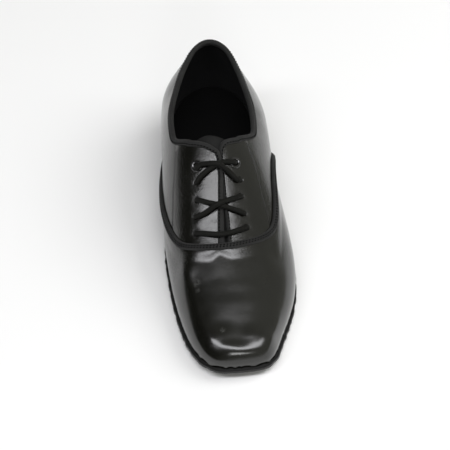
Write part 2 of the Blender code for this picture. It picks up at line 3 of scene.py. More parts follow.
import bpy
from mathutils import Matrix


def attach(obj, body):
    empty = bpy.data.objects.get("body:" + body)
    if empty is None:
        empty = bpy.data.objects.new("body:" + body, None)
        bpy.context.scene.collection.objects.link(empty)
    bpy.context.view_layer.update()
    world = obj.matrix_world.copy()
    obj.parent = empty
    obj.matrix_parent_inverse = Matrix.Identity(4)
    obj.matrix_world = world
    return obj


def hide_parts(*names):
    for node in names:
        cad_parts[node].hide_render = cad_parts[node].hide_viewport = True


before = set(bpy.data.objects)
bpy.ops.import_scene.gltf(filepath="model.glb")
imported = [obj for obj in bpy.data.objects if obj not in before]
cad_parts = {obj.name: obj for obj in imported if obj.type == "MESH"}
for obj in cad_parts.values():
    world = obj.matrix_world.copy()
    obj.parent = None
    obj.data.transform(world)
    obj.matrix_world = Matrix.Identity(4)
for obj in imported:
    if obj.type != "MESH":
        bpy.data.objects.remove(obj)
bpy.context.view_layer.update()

import math

import bmesh
import bpy
import numpy as np
from mathutils import Matrix, Vector


# The upper: black box calf over a last, one vamp with its edge lying on top of
# two quarters, stretched over the last and cemented to the sole all round.
# Its shape is a feather line, a ridge and a section table, in millimetres.
CENTRE_X = 1.92
CENTRE_ALONG = 140.51
LENGTH = 280.0
LEATHER = 1.2
# Columns: distance, half width on the inner and on the outer side.
FEATHER = (
    (0.0, 0.0, 0.0), (1.0, 14.0, 13.6), (4.0, 22.4, 20.8), (10.0, 27.6, 27.2), (17.0, 31.0, 31.5),
    (28.0, 35.5, 36.1), (50.0, 44.2, 41.2), (75.0, 50.2, 44.6), (100.0, 51.2, 46.4), (125.0, 48.0, 46.8),
    (155.0, 41.5, 44.2), (190.0, 36.0, 39.4), (225.0, 34.8, 36.8), (250.0, 32.8, 32.6),
    (267.0, 25.2, 22.8), (276.5, 14.3, 10.3), (280.0, 2.2, -2.2),
)
# Columns: distance, height.
RIDGE = (
    (30.0, 33.5), (58.0, 42.0), (87.0, 51.5), (120.0, 68.0), (150.0, 84.0), (185.0, 100.0),
    (220.0, 110.0), (255.0, 115.0),
)
# Start of the ridge, its arcs into the toe and the heel, its shift to the side and its tilt.
RIDGE_START, TOE_ARC, HEEL_ARC, RIDGE_SHIFT, RIDGE_TILT = 5.0, 27.0, 26.0, -2.2, 0.12
# Rise from which the sides blend into the crest, and over how much.
CREST_START, CREST_BLEND = 0.96, 0.04
# Columns: distance, then lean, wall and crown on the inner and on the outer side.
SECTION = (
    (0.0, 0.12, 0.50, 0.72, 0.12, 0.50, 0.72),
    (30.0, 0.18, 0.50, 0.72, 0.15, 0.50, 0.72),
    (60.0, 0.32, 0.48, 0.66, 0.24, 0.48, 0.66),
    (95.0, 0.42, 0.42, 0.64, 0.30, 0.42, 0.62),
    (150.0, 0.58, 0.42, 0.60, 0.42, 0.42, 0.62),
    (200.0, 1.18, 0.383, -0.13, 0.787, 0.36, 0.478),
    (240.0, 1.09, 0.337, -0.335, 1.02, 0.338, -0.18),
    (265.0, 0.365, 0.363, 0.276, 0.56, 0.49, -0.42),
    (280.0, 0.33, 0.40, 0.64, 0.33, 0.40, 0.64),
)
# Columns: distance, height.
TOPLINE = (
    (157.0, 91.0), (163.4, 87.6), (166.4, 86.0), (171.8, 81.6), (176.0, 77.8), (180.5, 75.0), (185.0, 74.2),
    (192.0, 74.4), (203.0, 75.0), (223.0, 77.5), (250.0, 82.5), (276.0, 89.5),
)
COLLAR_START = TOPLINE[0][0]
# Throat columns: distance, gap from the ridge on the inner and on the outer side.
THROAT_START, THROAT_END = 88.7, 170.0
THROAT = (
    (88.6, 2.8, 2.6), (97.0, 3.0, 2.2), (107.0, 2.9, 1.3), (117.0, 2.5, 0.7), (150.0, 2.5, 0.6), (153.7, 2.5, 0.9),
    (155.7, 2.6, 3.0), (158.0, 3.4, 6.0), (160.0, 4.6, 9.0), (161.5, 5.9, 11.5), (163.0, 8.3, 14.0),
    (165.6, 13.4, 18.2), (167.5, 17.0, 21.5),
)
# Columns: share of the girth, distance.
VAMP_EDGE = (
    (-0.96, 200.0), (-0.86, 172.0), (-0.76, 146.0), (-0.68, 128.5), (-0.613, 115.2), (-0.51, 100.4),
    (-0.435, 94.6), (-0.332, 89.6), (-0.202, 85.5), (-0.071, 83.5), (0.011, 83.5), (0.119, 86.5), (0.225, 90.7),
    (0.305, 95.0), (0.372, 100.3), (0.424, 106.5), (0.477, 119.0), (0.529, 135.0), (0.584, 148.2), (0.654, 162.0),
    (0.740, 175.0), (0.820, 184.5), (0.900, 192.0), (0.960, 196.5),
)
EYESTAY = (
    (0.345, 172.0), (0.347, 167.6), (0.352, 161.5), (0.354, 155.0), (0.352, 145.4), (0.352, 136.1), (0.358, 127.1),
    (0.376, 117.4), (0.398, 108.0), (0.410, 104.0),
)
EYESTAY_OUTER = (
    (-0.436, 172.5), (-0.442, 169.7), (-0.462, 161.6), (-0.478, 152.9), (-0.500, 144.8), (-0.519, 136.6),
    (-0.540, 128.4), (-0.572, 118.0), (-0.610, 108.0),
)
# Lace holes, top pair first. Columns: distance and girth share, inner and then outer.
HOLES = (
    (147.2, 0.143, 146.4, 0.220), (135.0, 0.160, 134.5, 0.236), (122.8, 0.148, 122.5, 0.247),
    (110.3, 0.158, 111.1, 0.274), (100.2, 0.174, 99.1, 0.297),
)
# Way over the last in millimetres, lift of the vamp over the quarters, share where its edge ends.
GIRTH, VAMP_LIFT, VAMP_END = 92.0, 1.1, 0.96
SOLE_THICKNESS, CEMENT = 3.8, 0.3
TREAD_START, TREAD_END, BREAST = 70.0, 108.0, 222.0
TOE_SPRING, SEAT_HEIGHT = 6.8, 28.0
# Distances where the mesh changes its spacing.
TOE_ROUND, SLIT_START, SLIT_OPEN, COLLAR_DIP, HEEL_ROUND = 26.0, 85.7, 86.2, 186.0, 250.0
# Fullness below both ends of the vamp's edge. Columns: girth share, half width, height.
SWELL_DISTANCE, SWELL_HALF = 76.0, 10.0
SWELLS = ((-0.47, 0.13, 1.7), (0.34, 0.12, 1.2))
# Soft folds that the foot has left in the quarters.
# Columns: girth share and distance of both ends, depth (negative is a ridge), half width.
FOLDS = (
    (0.50, 188.0, 0.64, 214.0, 0.55, 4.5),
    (0.45, 193.0, 0.55, 222.0, -0.35, 4.5),
    (-0.50, 190.0, -0.64, 216.0, 0.40, 5.0),
    (0.46, 226.0, 0.64, 240.0, 0.25, 4.5),
    (-0.44, 228.0, -0.62, 242.0, 0.25, 4.5),
)
# Soft swellings that the toe puff gives the toe.
# Columns: middle x and distance, half width, half length, height.
TOE_FORM = (
    (24.7, 15.7, 6.0, 8.1, 0.98), (-11.5, 20.0, 9.8, 6.0, 1.06), (13.9, 17.2, 10.5, 6.0, 1.50),
    (-5.8, 7.3, 10.5, 8.0, 0.50), (-7.0, 22.2, 20.0, 13.6, -0.80),
)
# Faint waves across the vamp. Columns: middle x and distance, half length, depth, half width.
WAVES = (
    (10.0, 57.0, 26.0, -0.07, 3.0),
    (6.0, 50.5, 28.0, 0.06, 3.0),
    (2.0, 43.5, 22.0, -0.06, 3.0),
    (14.0, 36.0, 18.0, 0.04, 3.0),
    (-18.0, 62.0, 12.0, 0.06, 3.0),
)


class Curve:
    """Smooth curve through the rows of a table."""

    def __init__(self, knots, values, closed=False):
        self.knots = np.asarray(knots, float)
        self.values = np.asarray(values, float)
        self.steps = np.diff(self.knots)
        count = len(self.knots) - 1 if closed else len(self.knots)
        system = np.zeros((count, count))
        right = np.zeros((count,) + self.values.shape[1:])
        slopes = self.values[1:] - self.values[:-1]
        slopes = slopes / self.steps.reshape((-1,) + (1,) * (self.values.ndim - 1))
        for row in range(count):
            if not closed and row in (0, count - 1):
                system[row, row] = 1.0
                continue
            before, after = self.steps[row - 1], self.steps[row]
            system[row, (row - 1) % count] += before
            system[row, row] += 2.0 * (before + after)
            system[row, (row + 1) % count] += after
            right[row] = 6.0 * (slopes[row] - slopes[row - 1])
        bends = np.linalg.solve(system, right)
        self.bends = np.concatenate([bends, bends[:1]]) if closed else bends

    def __call__(self, where):
        where = np.asarray(where, float)
        cell = np.clip(np.searchsorted(self.knots, where, side="right") - 1, 0, len(self.steps) - 1)
        done, left, step = where - self.knots[cell], self.knots[cell + 1] - where, self.steps[cell]
        if self.values.ndim > 1:
            done, left, step = done[..., None], left[..., None], step[..., None]
        bent = self.bends[cell] * left ** 3 + self.bends[cell + 1] * done ** 3
        start = self.values[cell] / step - self.bends[cell] * step / 6.0
        end = self.values[cell + 1] / step - self.bends[cell + 1] * step / 6.0
        return bent / (6.0 * step) + start * left + end * done


def table_curve(table, index=1):
    return Curve([row[0] for row in table], [row[index] for row in table])


def ease(share):
    share = np.clip(share, 0.0, 1.0)
    return share * share * (3.0 - 2.0 * share)


def bell(share):
    return np.exp(-share ** 2)


def unit(ways):
    return ways / np.linalg.norm(ways, axis=-1)[..., None]


def run_length(points, power=1.0):
    """Distance walked at each point of a run."""
    steps = np.linalg.norm(np.diff(points, axis=0), axis=1) ** power
    return np.concatenate([[0.0], np.cumsum(steps)])


def feather_halves():
    inner = [(row[1], row[0]) for row in FEATHER[:-1]]
    outer = [(-row[2], row[0]) for row in FEATHER[1:]]
    ring = np.array(inner + outer[::-1] + inner[:1])
    knots = run_length(ring, 0.5)
    line = Curve(knots, ring, closed=True)
    halves = {}
    for side, first in ((1, knots[0]), (-1, knots[-1])):
        points = line(np.linspace(first, knots[len(inner)], 4001))
        run = run_length(points)
        tangent = unit(np.gradient(points, axis=0))
        halves[side] = (run / run[-1], points, side * np.stack([tangent[:, 1], -tangent[:, 0]], -1))
    return halves


halves = feather_halves()
ridge_curve, topline_curve, vamp_edge_curve = table_curve(RIDGE), table_curve(TOPLINE), table_curve(VAMP_EDGE)
section_curves = {
    1: [table_curve(SECTION, index) for index in (1, 2, 3)],
    -1: [table_curve(SECTION, index) for index in (4, 5, 6)],
}


def underside(along):
    spring = TOE_SPRING * np.clip((TREAD_START - along) / TREAD_START, 0.0, None) ** 2
    return spring + SEAT_HEIGHT * ease((along - TREAD_END) / (BREAST - TREAD_END))


def feather(side, line):
    share, points, outward = halves[side]
    x, along = [np.interp(line, share, points[:, axis]) for axis in (0, 1)]
    away = [np.interp(line, share, outward[:, axis]) for axis in (0, 1)]
    return x, along, np.stack(away, -1)


all_lines = np.linspace(0.0, 1.0, 4001)
all_means = 0.5 * (feather(1, all_lines)[1] + feather(-1, all_lines)[1])


def mean_along(line):
    return np.interp(line, all_lines, all_means)


def line_at(along):
    return np.interp(along, all_means, all_lines)


def ridge_point(line):
    mean = mean_along(line)
    along = RIDGE_START + np.hypot(np.clip(mean - RIDGE_START, 0.0, None), TOE_ARC)
    along = along - np.hypot(LENGTH - mean, HEEL_ARC) + LENGTH - mean
    x = RIDGE_SHIFT * ease(along / 100.0) * ease((LENGTH - along) / 80.0)
    slope = ridge_curve(along + 0.5) - ridge_curve(along - 0.5)
    return np.stack([x, along, ridge_curve(along)], -1), slope, RIDGE_TILT * ease((along - 45.0) / 60.0)


def last_surface(side, line, rise):
    """Outside of the quarters; rise is 0 at the feather and 1 at the ridge."""
    line, rise = np.asarray(line, float), np.asarray(rise, float)[..., None]
    x, along, outward = feather(side, line)
    height = underside(along) + SOLE_THICKNESS + CEMENT
    foot = np.stack([x, along, height], -1)
    top, slope, tilt = ridge_point(line)
    lean, wall, crown = [curve(along) for curve in section_curves[side]]
    reach = wall * (top[..., 2] - height)
    handle = np.stack([outward[..., 0] * lean * reach, outward[..., 1] * lean * reach, reach], -1)
    span_x, span_y = x - top[..., 0], along - top[..., 1]
    span = np.stack([span_x, span_y, span_y * slope - span_x * tilt], -1)
    third, low = top + span * crown[..., None], 1.0 - rise
    return foot * low ** 3 + 3.0 * (foot + handle) * rise * low ** 2 + 3.0 * third * rise ** 2 * low + top * rise ** 3


def slopes_at(side, line, rise):
    step = 0.0004
    line, rise = np.clip(line, step, 1.0 - step), np.clip(rise, step, 0.996)
    by_line = last_surface(side, line + step, rise) - last_surface(side, line - step, rise)
    by_rise = last_surface(side, line, rise + step) - last_surface(side, line, rise - step)
    return by_line / (2.0 * step), by_rise / (2.0 * step)


def outward_normal(side, line, rise):
    by_line, by_rise = slopes_at(side, line, rise)
    normal = unit(side * np.cross(by_line, by_rise))
    top, slope, tilt = ridge_point(np.asarray(line, float))
    crest = unit(np.stack([tilt, -slope, np.ones_like(slope)], -1))
    blend = ease((np.asarray(rise, float) - CREST_START) / CREST_BLEND)[..., None]
    return unit(normal * (1.0 - blend) + crest * blend)


def vamp_gap(side, line, rise):
    """Distance in front of the vamp's edge, negative on the quarters."""
    girth = np.clip(side * (1.0 - np.asarray(rise, float)), -VAMP_END, VAMP_END)
    step = 0.004
    steep = (vamp_edge_curve(girth + step) - vamp_edge_curve(girth - step)) / (2.0 * step) / GIRTH
    return (vamp_edge_curve(girth) - mean_along(line)) / np.sqrt(1.0 + steep ** 2)


def stay_gap(side, line, rise):
    """Distance from the stitched line that bounds the eyestay."""
    rows = EYESTAY if side > 0 else EYESTAY_OUTER
    along = np.array([row[1] for row in rows])[::-1]
    share = np.array([abs(row[0]) for row in rows])[::-1]
    return (1.0 - np.asarray(rise, float) - np.interp(mean_along(line), along, share)) * GIRTH


# Softness of the vamp's edge, the hollow in front of it and its earlier start at the throat,
# the step and seam of the eyestay, the dip round a hole, the pleats over the sole and the
# unevenness, in millimetres; places round the girth are shares.
EDGE_SOFT = 2.2
HOLLOW_DEPTH, HOLLOW_START, HOLLOW_LENGTH = 1.25, 2.6, 9.5
SLACK, SLACK_SHARE, SLACK_HALF = 5.0, -0.075, 0.06
STAY_STEP, SEAM_DEPTH, SEAM_HALF = 0.30, 0.14, 0.9
HOLE_DIP, HOLE_REACH = 0.35, 3.6
PLEAT_HEIGHT, UNEVENNESS = 0.5, 0.05


def relief(side, line, rise):
    """Height of the finished leather over the last: vamp, folds, seams and pulls."""
    girth, along = side * (1.0 - np.asarray(rise, float)), mean_along(line)
    ahead = vamp_gap(side, line, rise)
    height = VAMP_LIFT * ease(ahead / EDGE_SOFT + 0.5)
    slack = SLACK * bell((girth - SLACK_SHARE) / SLACK_HALF)
    height -= HOLLOW_DEPTH * ease((ahead - HOLLOW_START + slack) / HOLLOW_LENGTH)
    for middle, half, swell in SWELLS:
        height += swell * bell((along - SWELL_DISTANCE) / SWELL_HALF) * bell((girth - middle) / half)
    for girth_a, along_a, girth_b, along_b, depth, width in FOLDS:
        start, end = np.array([girth_a * GIRTH, along_a]), np.array([girth_b * GIRTH, along_b])
        run = end - start
        share = ((girth * GIRTH - start[0]) * run[0] + (along - start[1]) * run[1]) / np.dot(run, run)
        away = ((girth * GIRTH - start[0]) * run[1] - (along - start[1]) * run[0]) / np.linalg.norm(run)
        bow = away + 2.0 * np.sin(3.0 * share)
        height -= depth * bell(bow / width) * np.exp(-((share - 0.5) / 0.42) ** 4)
    on_stay = ease((along - 100.0) / 6.0) * ease(-ahead / 2.0)
    gap = stay_gap(side, line, rise)
    height += on_stay * (STAY_STEP * ease(-gap / 1.4 + 0.5) - SEAM_DEPTH * bell(gap / SEAM_HALF))
    for row in HOLES:
        hole_along, hole_girth = (row[0], row[1]) if side > 0 else (row[2], -row[3])
        reach = np.hypot((girth - hole_girth) * GIRTH, along - hole_along)
        height -= HOLE_DIP * bell(reach / HOLE_REACH)
    wave = np.sin(along * 0.21 + girth * 9.0) * np.sin(girth * 13.0 - along * 0.09 + 1.3)
    pleats = np.sin(209.0 * line + 1.6 * np.sin(61.0 * line + side) + 0.8 * side)
    height += PLEAT_HEIGHT * pleats * bell(np.asarray(rise) / 0.05) * ease((24.0 - along) / 10.0)
    return height + UNEVENNESS * wave * ease((along - 30.0) / 25.0)


def skin(side, line, rise, height):
    return last_surface(side, line, rise) + outward_normal(side, line, rise) * np.asarray(height)[..., None]


def throat(side, along):
    values = np.interp(along, [row[0] for row in THROAT], [row[1 if side > 0 else 2] for row in THROAT])
    return np.where((along < THROAT_START) | (along > THROAT_END), -1.0, values)


def top_edge(side, lines):
    """Rise at which the topline or the throat cuts each section."""
    samples = np.linspace(0.0, 1.0, 401)
    edge = []
    for line in np.atleast_1d(lines):
        points = last_surface(side, np.full(len(samples), line), samples)
        ridge_x = ridge_point(np.array([line]))[0][0, 0]
        over = points[:, 2] - topline_curve(np.clip(points[:, 1], COLLAR_START, LENGTH))
        over = np.where(points[:, 1] < COLLAR_START, -1.0, over)
        outside = np.maximum(over, throat(side, points[:, 1]) - np.abs(points[:, 0] - ridge_x))
        first = int(np.argmax(outside > 0.0))
        if outside[first] <= 0.0:
            edge.append(1.0)
        else:
            before, after = outside[first - 1], outside[first]
            edge.append(samples[first - 1] + samples[1] * before / (before - after))
    return np.array(edge)


def to_frame(points):
    """Millimetres from the toe to metres in the shoe's frame."""
    return (np.asarray(points, float) - (CENTRE_X, CENTRE_ALONG, 0.0)) * 0.001


def put(name, data):
    thing = bpy.data.objects.new(name, data)
    bpy.context.collection.objects.link(thing)
    return thing


def write_piece(name, points, faces, corner_uv=None, weld=0.0):
    """Closed mesh in the shoe's frame from points in millimetres."""
    mesh = bpy.data.meshes.new(name)
    mesh.from_pydata(to_frame(points).tolist(), [], [tuple(int(i) for i in face) for face in faces])
    if corner_uv is not None:
        layer = mesh.uv_layers.new(name="UVMap")
        layer.data.foreach_set("uv", np.asarray(corner_uv, float).ravel())
    built = bmesh.new()
    built.from_mesh(mesh)
    if weld:
        bmesh.ops.remove_doubles(built, verts=built.verts, dist=weld * 0.001)
        bmesh.ops.dissolve_degenerate(built, edges=built.edges, dist=0.000001)
    bmesh.ops.recalc_face_normals(built, faces=built.faces)
    for face in built.faces:
        face.smooth = True
    built.to_mesh(mesh)
    built.free()
    return put(name, mesh)


def grid_faces(rows, columns, first=0):
    return [
        (first + row * columns + place, first + row * columns + place + 1,
         first + (row + 1) * columns + place + 1, first + (row + 1) * columns + place)
        for row in range(rows - 1) for place in range(columns - 1)
    ]


def ring_faces(rows, width, first=0, closed=False):
    """Faces between rings of points, and from the last ring to the first if closed."""
    faces = []
    for row in range(rows if closed else rows - 1):
        here, there = first + row * width, first + (row + 1) % rows * width
        for place in range(width):
            after = (place + 1) % width
            faces.append((here + place, here + after, there + after, there + place))
    return faces


def spaced(stops, counts, first=0.0, last=1.0):
    """Lines in even steps: by share round the toe and the heel, by distance between the stops."""
    parts = [np.linspace(first, line_at(stops[0]), counts[0])]
    parts += [line_at(np.linspace(*stretch)) for stretch in zip(stops, stops[1:], counts[1:])]
    return np.unique(np.concatenate(parts + [np.linspace(line_at(stops[-1]), last, counts[-1])]))


def shell(name, lines, rows, depths, formed):
    """Both sides of the upper between two heights over the last, or over the formed leather."""
    points, faces, count, columns = [], [], 0, rows + 1
    for side in (1, -1):
        edge = top_edge(side, lines)
        line_grid = np.repeat(lines, columns)
        rise_grid = (edge[:, None] * np.linspace(0.0, 1.0, columns)[None, :]).ravel()
        lift = relief(side, line_grid, rise_grid) if formed else np.zeros(len(line_grid))
        low, high = count, count + len(line_grid)
        for depth in depths:
            points.append(skin(side, line_grid, rise_grid, lift + depth))
            faces += grid_faces(len(lines), columns, count)
            count += len(line_grid)
        for row in range(len(lines) - 1):
            here, there = row * columns, (row + 1) * columns
            faces.append((low + here, low + there, high + there, high + here))
            if edge[row] < 1.0 or edge[row + 1] < 1.0:
                here, there = here + rows, there + rows
                faces.append((low + here, low + there, high + there, high + here))
    return write_piece(name, np.concatenate(points), faces, weld=0.04)


class Nodes:
    """Short ways to add nodes to a tree."""

    def __init__(self, tree, prefix):
        self.tree, self.prefix = tree, prefix

    def feed(self, node, values):
        for key, value in values.items():
            socket = node.inputs[key.replace("_", " ") if isinstance(key, str) else key]
            if isinstance(value, bpy.types.NodeSocket):
                self.tree.links.new(value, socket)
            elif value is not None:
                socket.default_value = value

    def add(self, kind, *values, out=0, **settings):
        """Output of a new node; values feed its inputs in order, capitals name inputs, the rest are settings."""
        node = self.tree.nodes.new(kind if "Node" in kind else self.prefix + kind)
        for key, value in settings.items():
            if key[0].islower():
                setattr(node, key, value)
        self.feed(node, dict(enumerate(values)))
        self.feed(node, {key: value for key, value in settings.items() if key[0].isupper()})
        return node.outputs[out]

    def steps(self, level, *stops):
        """Colour that goes from one stop to the other with a level."""
        ramp = self.tree.nodes.new("ShaderNodeValToRGB")
        for element, (place, colour) in zip(ramp.color_ramp.elements, stops):
            element.position, element.color = place, (*colour, 1.0)
        self.feed(ramp, {"Fac": level})
        return ramp.outputs["Color"]


class Finish(Nodes):
    """A new material whose textures lie in the shoe's own space."""

    def __init__(self, name):
        self.made = bpy.data.materials.new(name)
        self.made.use_nodes = True
        super().__init__(self.made.node_tree, "ShaderNode")
        self.place = self.add("TexCoord", out="Object")

    def math(self, operation, *values):
        return self.add("Math", *values, operation=operation)

    def noise(self, scale, detail, rough=0.5, swirl=0.0):
        return self.add(
            "TexNoise", self.place, Scale=scale, Detail=detail, Roughness=rough, Distortion=swirl, out="Fac",
        )

    def wave(self, way, place, scale, bend):
        return self.add("TexWave", place, Scale=scale, Distortion=bend, bands_direction=way, out="Fac")

    def bump(self, height, strength, distance, under=None):
        return self.add("Bump", Height=height, Strength=strength, Distance=distance, Normal=under)

    def wear(self, **values):
        self.feed(self.tree.nodes["Principled BSDF"], values)
        return self.made


def shaded(tone, share):
    return tuple(share * part for part in tone)


# Rubbed spots in the polish, in metres: middle and reach.
SCUFFS = (
    (-0.0294, -0.0765, 0.0368, 0.0045), (-0.0294, -0.0823, 0.0355, 0.0028), (-0.0132, -0.1178, 0.0305, 0.0026),
)
SCUFF_TONE = (0.085, 0.085, 0.082, 1.0)


def leather_finish(name, tone, gloss, grain, dressing):
    """Smooth dyed leather: pore grain, flatter where the toe stretches it, uneven polish, thin dressing."""
    leather = Finish(name)
    pores = leather.add("TexVoronoi", leather.place, Scale=1500.0)
    cells = leather.add("TexVoronoi", leather.place, Scale=580.0, feature="SMOOTH_F1")
    cloud, fine = leather.noise(28.0, 5.0, 0.6), leather.noise(420.0, 3.0, 0.65)
    spots = 0.0
    for *middle, reach in SCUFFS:
        away = leather.add("VectorMath", leather.place, middle, operation="DISTANCE", out="Value")
        spots = leather.math("MAXIMUM", spots, leather.add("MapRange", away, reach, 0.4 * reach))
    scratches = leather.add("MapRange", leather.noise(1100.0, 2.0, swirl=1.5), 0.52, 0.60)
    scuffed = leather.math("MULTIPLY", spots, scratches)
    dyed = leather.steps(cloud, (0.30, shaded(tone, 0.62)), (0.72, tone))
    worn = leather.add("Mix", scuffed, *[None] * 5, dyed, SCUFF_TONE, data_type="RGBA", out=2)
    patchy = leather.math("ADD", cloud, leather.math("MULTIPLY", fine, 0.35))
    patchy = leather.math("SUBTRACT", patchy, 0.17)
    polish = leather.add("MapRange", patchy, 0.3, 0.7, gloss - 0.05, gloss + 0.07)
    distance = leather.add("SeparateXYZ", leather.place, out="Y")
    buffed = leather.add("MapRange", distance, -0.110, -0.075, 0.80, 1.0)
    stretch = leather.add("MapRange", distance, -0.066, -0.050, 0.12 * grain, grain)
    return leather.wear(
        Base_Color=worn, Roughness=leather.math("MULTIPLY", polish, buffed), Coat_Weight=dressing,
        Coat_Roughness=0.20, Specular_IOR_Level=0.5,
        Normal=leather.bump(pores, stretch, 0.00010, leather.bump(cells, stretch, 0.00022)),
    )


def hole_places():
    """Index, side, line and rise of every lace hole, top pair first."""
    places = []
    for index, row in enumerate(HOLES):
        for side, along, girth in ((1, row[0], row[1]), (-1, row[2], row[3])):
            places.append((index, side, float(line_at(along)), 1.0 - girth))
    return places


def spokes(first, second, sides):
    angles = 2.0 * math.pi * np.arange(sides) / sides
    return np.cos(angles)[:, None] * first + np.sin(angles)[:, None] * second


def hole_spokes(normal, sides):
    """Directions round a hole, square to the way through it."""
    across = unit(np.cross(normal, (0.0, 1.0, 0.0)))
    return spokes(across, np.cross(normal, across), sides)


# Radii of the holes, sides of the punch and the heights where it ends.
EYELET_HOLE, LACE_HOLE, HOLE_SIDES = 3.3, 2.1, 28
PUNCH_ENDS = (-6.0, 4.0)


def punch(piece):
    """Cut the lace holes clean through the leather."""
    points, faces = [], []
    for index, side, line, rise in hole_places():
        centre, normal = skin(side, line, rise, 0.0), outward_normal(side, line, rise)
        circle = (LACE_HOLE if index else EYELET_HOLE) * hole_spokes(normal, HOLE_SIDES)
        first = len(points)
        for height in PUNCH_ENDS:
            faces.append(tuple(range(len(points), len(points) + HOLE_SIDES)))
            points += list(centre + circle + normal * height)
        faces += ring_faces(2, HOLE_SIDES, first)
    cutter = write_piece("hole_punch", points, faces)
    cut = piece.modifiers.new("holes", "BOOLEAN")
    cut.operation, cut.solver, cut.object = "DIFFERENCE", "EXACT", cutter
    bake(piece)
    bpy.data.objects.remove(cutter, do_unlink=True)


def bake(piece):
    """Turn the result of the modifiers into the piece's own mesh."""
    view = bpy.context.evaluated_depsgraph_get()
    mesh = bpy.data.meshes.new_from_object(piece.evaluated_get(view))
    piece.modifiers.clear()
    piece.data = mesh


def dress(piece, material):
    piece.data.materials.clear()
    piece.data.materials.append(material)


def finish_piece(piece, material, slot, *nodes):
    dress(piece, material)
    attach(piece, "root")
    if nodes:
        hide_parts(*nodes)


# Plan of the toe in cells of one millimetre: count across, count along, cells left of the middle.
PLAN_ACROSS, PLAN_ALONG, PLAN_LEFT = 121, 96, 60.0
# Rounds of fairing, swell along the rim, and swell along an arc inside it with its middle and radius.
FAIRING_TURNS, RIM_SWELL = 140, 0.45
ARC_SWELL, ARC_X, ARC_DISTANCE, ARC_RADIUS = 0.94, 6.0, 33.2, 30.4
# Bow of the waves, and where the change ends: distance, lowest height and its fade.
WAVE_BOW = 0.0016
TOE_END, TOE_LOW, TOE_FADE = 90.0, 12.0, 12.0


def toe_fairing():
    """Height change over the plan that fairs the top of the toe box and adds its swellings."""
    lines = [line_at(np.linspace(0.0, 92.0, 420)), np.linspace(0.0, line_at(30.0), 300)]
    lines, rises = np.unique(np.concatenate(lines)), np.linspace(0.0, 1.0, 301)
    places = np.repeat(lines, len(rises)), np.tile(rises, len(lines))
    total, count = np.zeros((2, PLAN_ACROSS, PLAN_ALONG))
    for side in (1, -1):
        spots, tilts = last_surface(side, *places), outward_normal(side, *places)
        cell_x, cell_along = np.rint(spots[:, 0] + PLAN_LEFT).astype(int), np.rint(spots[:, 1]).astype(int)
        off_x, off_along = spots[:, 0] + PLAN_LEFT - cell_x, spots[:, 1] - cell_along
        level = spots[:, 2] + (tilts[:, 0] * off_x + tilts[:, 1] * off_along) / np.maximum(tilts[:, 2], 0.25)
        keep = (cell_x >= 0) & (cell_x < PLAN_ACROSS) & (cell_along >= 0) & (cell_along < PLAN_ALONG)
        np.add.at(total, (cell_x[keep], cell_along[keep]), level[keep])
        np.add.at(count, (cell_x[keep], cell_along[keep]), 1.0)
    first = total / np.maximum(count, 1.0)
    across, along = np.meshgrid(np.arange(PLAN_ACROSS) - PLAN_LEFT, np.arange(float(PLAN_ALONG)), indexing="ij")
    rim = np.concatenate([np.stack(feather(side, np.linspace(0.0, 0.5, 300))[:2], -1) for side in (1, -1)])
    inset = np.min(np.hypot(across[..., None] - rim[:, 0], along[..., None] - rim[:, 1]), axis=-1)
    weight = ease((inset - 9.0) / 8.0) * ease((78.0 - along) / 22.0) * (count > 0.0)
    faired = first.copy()
    for turn in range(FAIRING_TURNS):
        padded = np.pad(faired, 1, mode="edge")
        mean = 0.25 * (padded[:-2, 1:-1] + padded[2:, 1:-1] + padded[1:-1, :-2] + padded[1:-1, 2:])
        faired += weight * (mean - faired)
    change = (faired - first) * ease((inset - 7.0) / 8.0)
    front, rightward = ease((44.0 - along) / 22.0), ease((across + 22.0) / 14.0)
    change += RIM_SWELL * bell((inset - 4.5) / 4.0) * front * rightward * ease(inset / 2.5)
    inside = ARC_RADIUS - np.hypot(across - ARC_X, along - ARC_DISTANCE)
    change += ARC_SWELL * bell((inside - 2.9) / 6.2) * front * ease(inset / 4.0)
    for middle_x, middle_along, half_width, half_length, swell in TOE_FORM:
        away_x, away_along = (across - middle_x) / half_width, (along - middle_along) / half_length
        change += swell * bell(away_x) * bell(away_along) * ease(inset / 4.0)
    for middle_x, middle_along, half, depth, width in WAVES:
        away = (along - middle_along - WAVE_BOW * (across - middle_x) ** 2) / width
        change -= depth * np.exp(-((across - middle_x) / half) ** 4) * bell(away)
    return change


fairing = toe_fairing()


def soften_toe(piece):
    spots = np.zeros(3 * len(piece.data.vertices))
    piece.data.vertices.foreach_get("co", spots)
    spots = spots.reshape(-1, 3)
    x = np.clip(spots[:, 0] * 1000.0 + CENTRE_X + PLAN_LEFT, 0.0, PLAN_ACROSS - 1.01)
    along = np.clip(spots[:, 1] * 1000.0 + CENTRE_ALONG, 0.0, PLAN_ALONG - 1.01)
    cell_x, cell_along = x.astype(int), along.astype(int)
    part_x, part_along = x - cell_x, along - cell_along
    change = 0.0
    for step_x, share_x in ((0, 1.0 - part_x), (1, part_x)):
        for step_along, share_along in ((0, 1.0 - part_along), (1, part_along)):
            change = change + fairing[cell_x + step_x, cell_along + step_along] * share_x * share_along
    fade = ease((spots[:, 2] * 1000.0 - TOE_LOW) / TOE_FADE)
    spots[:, 2] += 0.001 * np.where(along < TOE_END, change * fade, 0.0)
    piece.data.vertices.foreach_set("co", spots.ravel())
    piece.data.update()


upper_lines = spaced((TOE_ROUND, SLIT_START, SLIT_OPEN, COLLAR_DIP, HEEL_ROUND), (56, 62, 2, 104, 48, 40))
upper = shell("upper_leather", upper_lines, 64, (0.0, -LEATHER), True)
soften_toe(upper)
punch(upper)
black_leather = leather_finish("black_leather", (0.0046, 0.0046, 0.0030), 0.22, 0.60, 0.55)
finish_piece(upper, black_leather, "upper_leather", "upper")


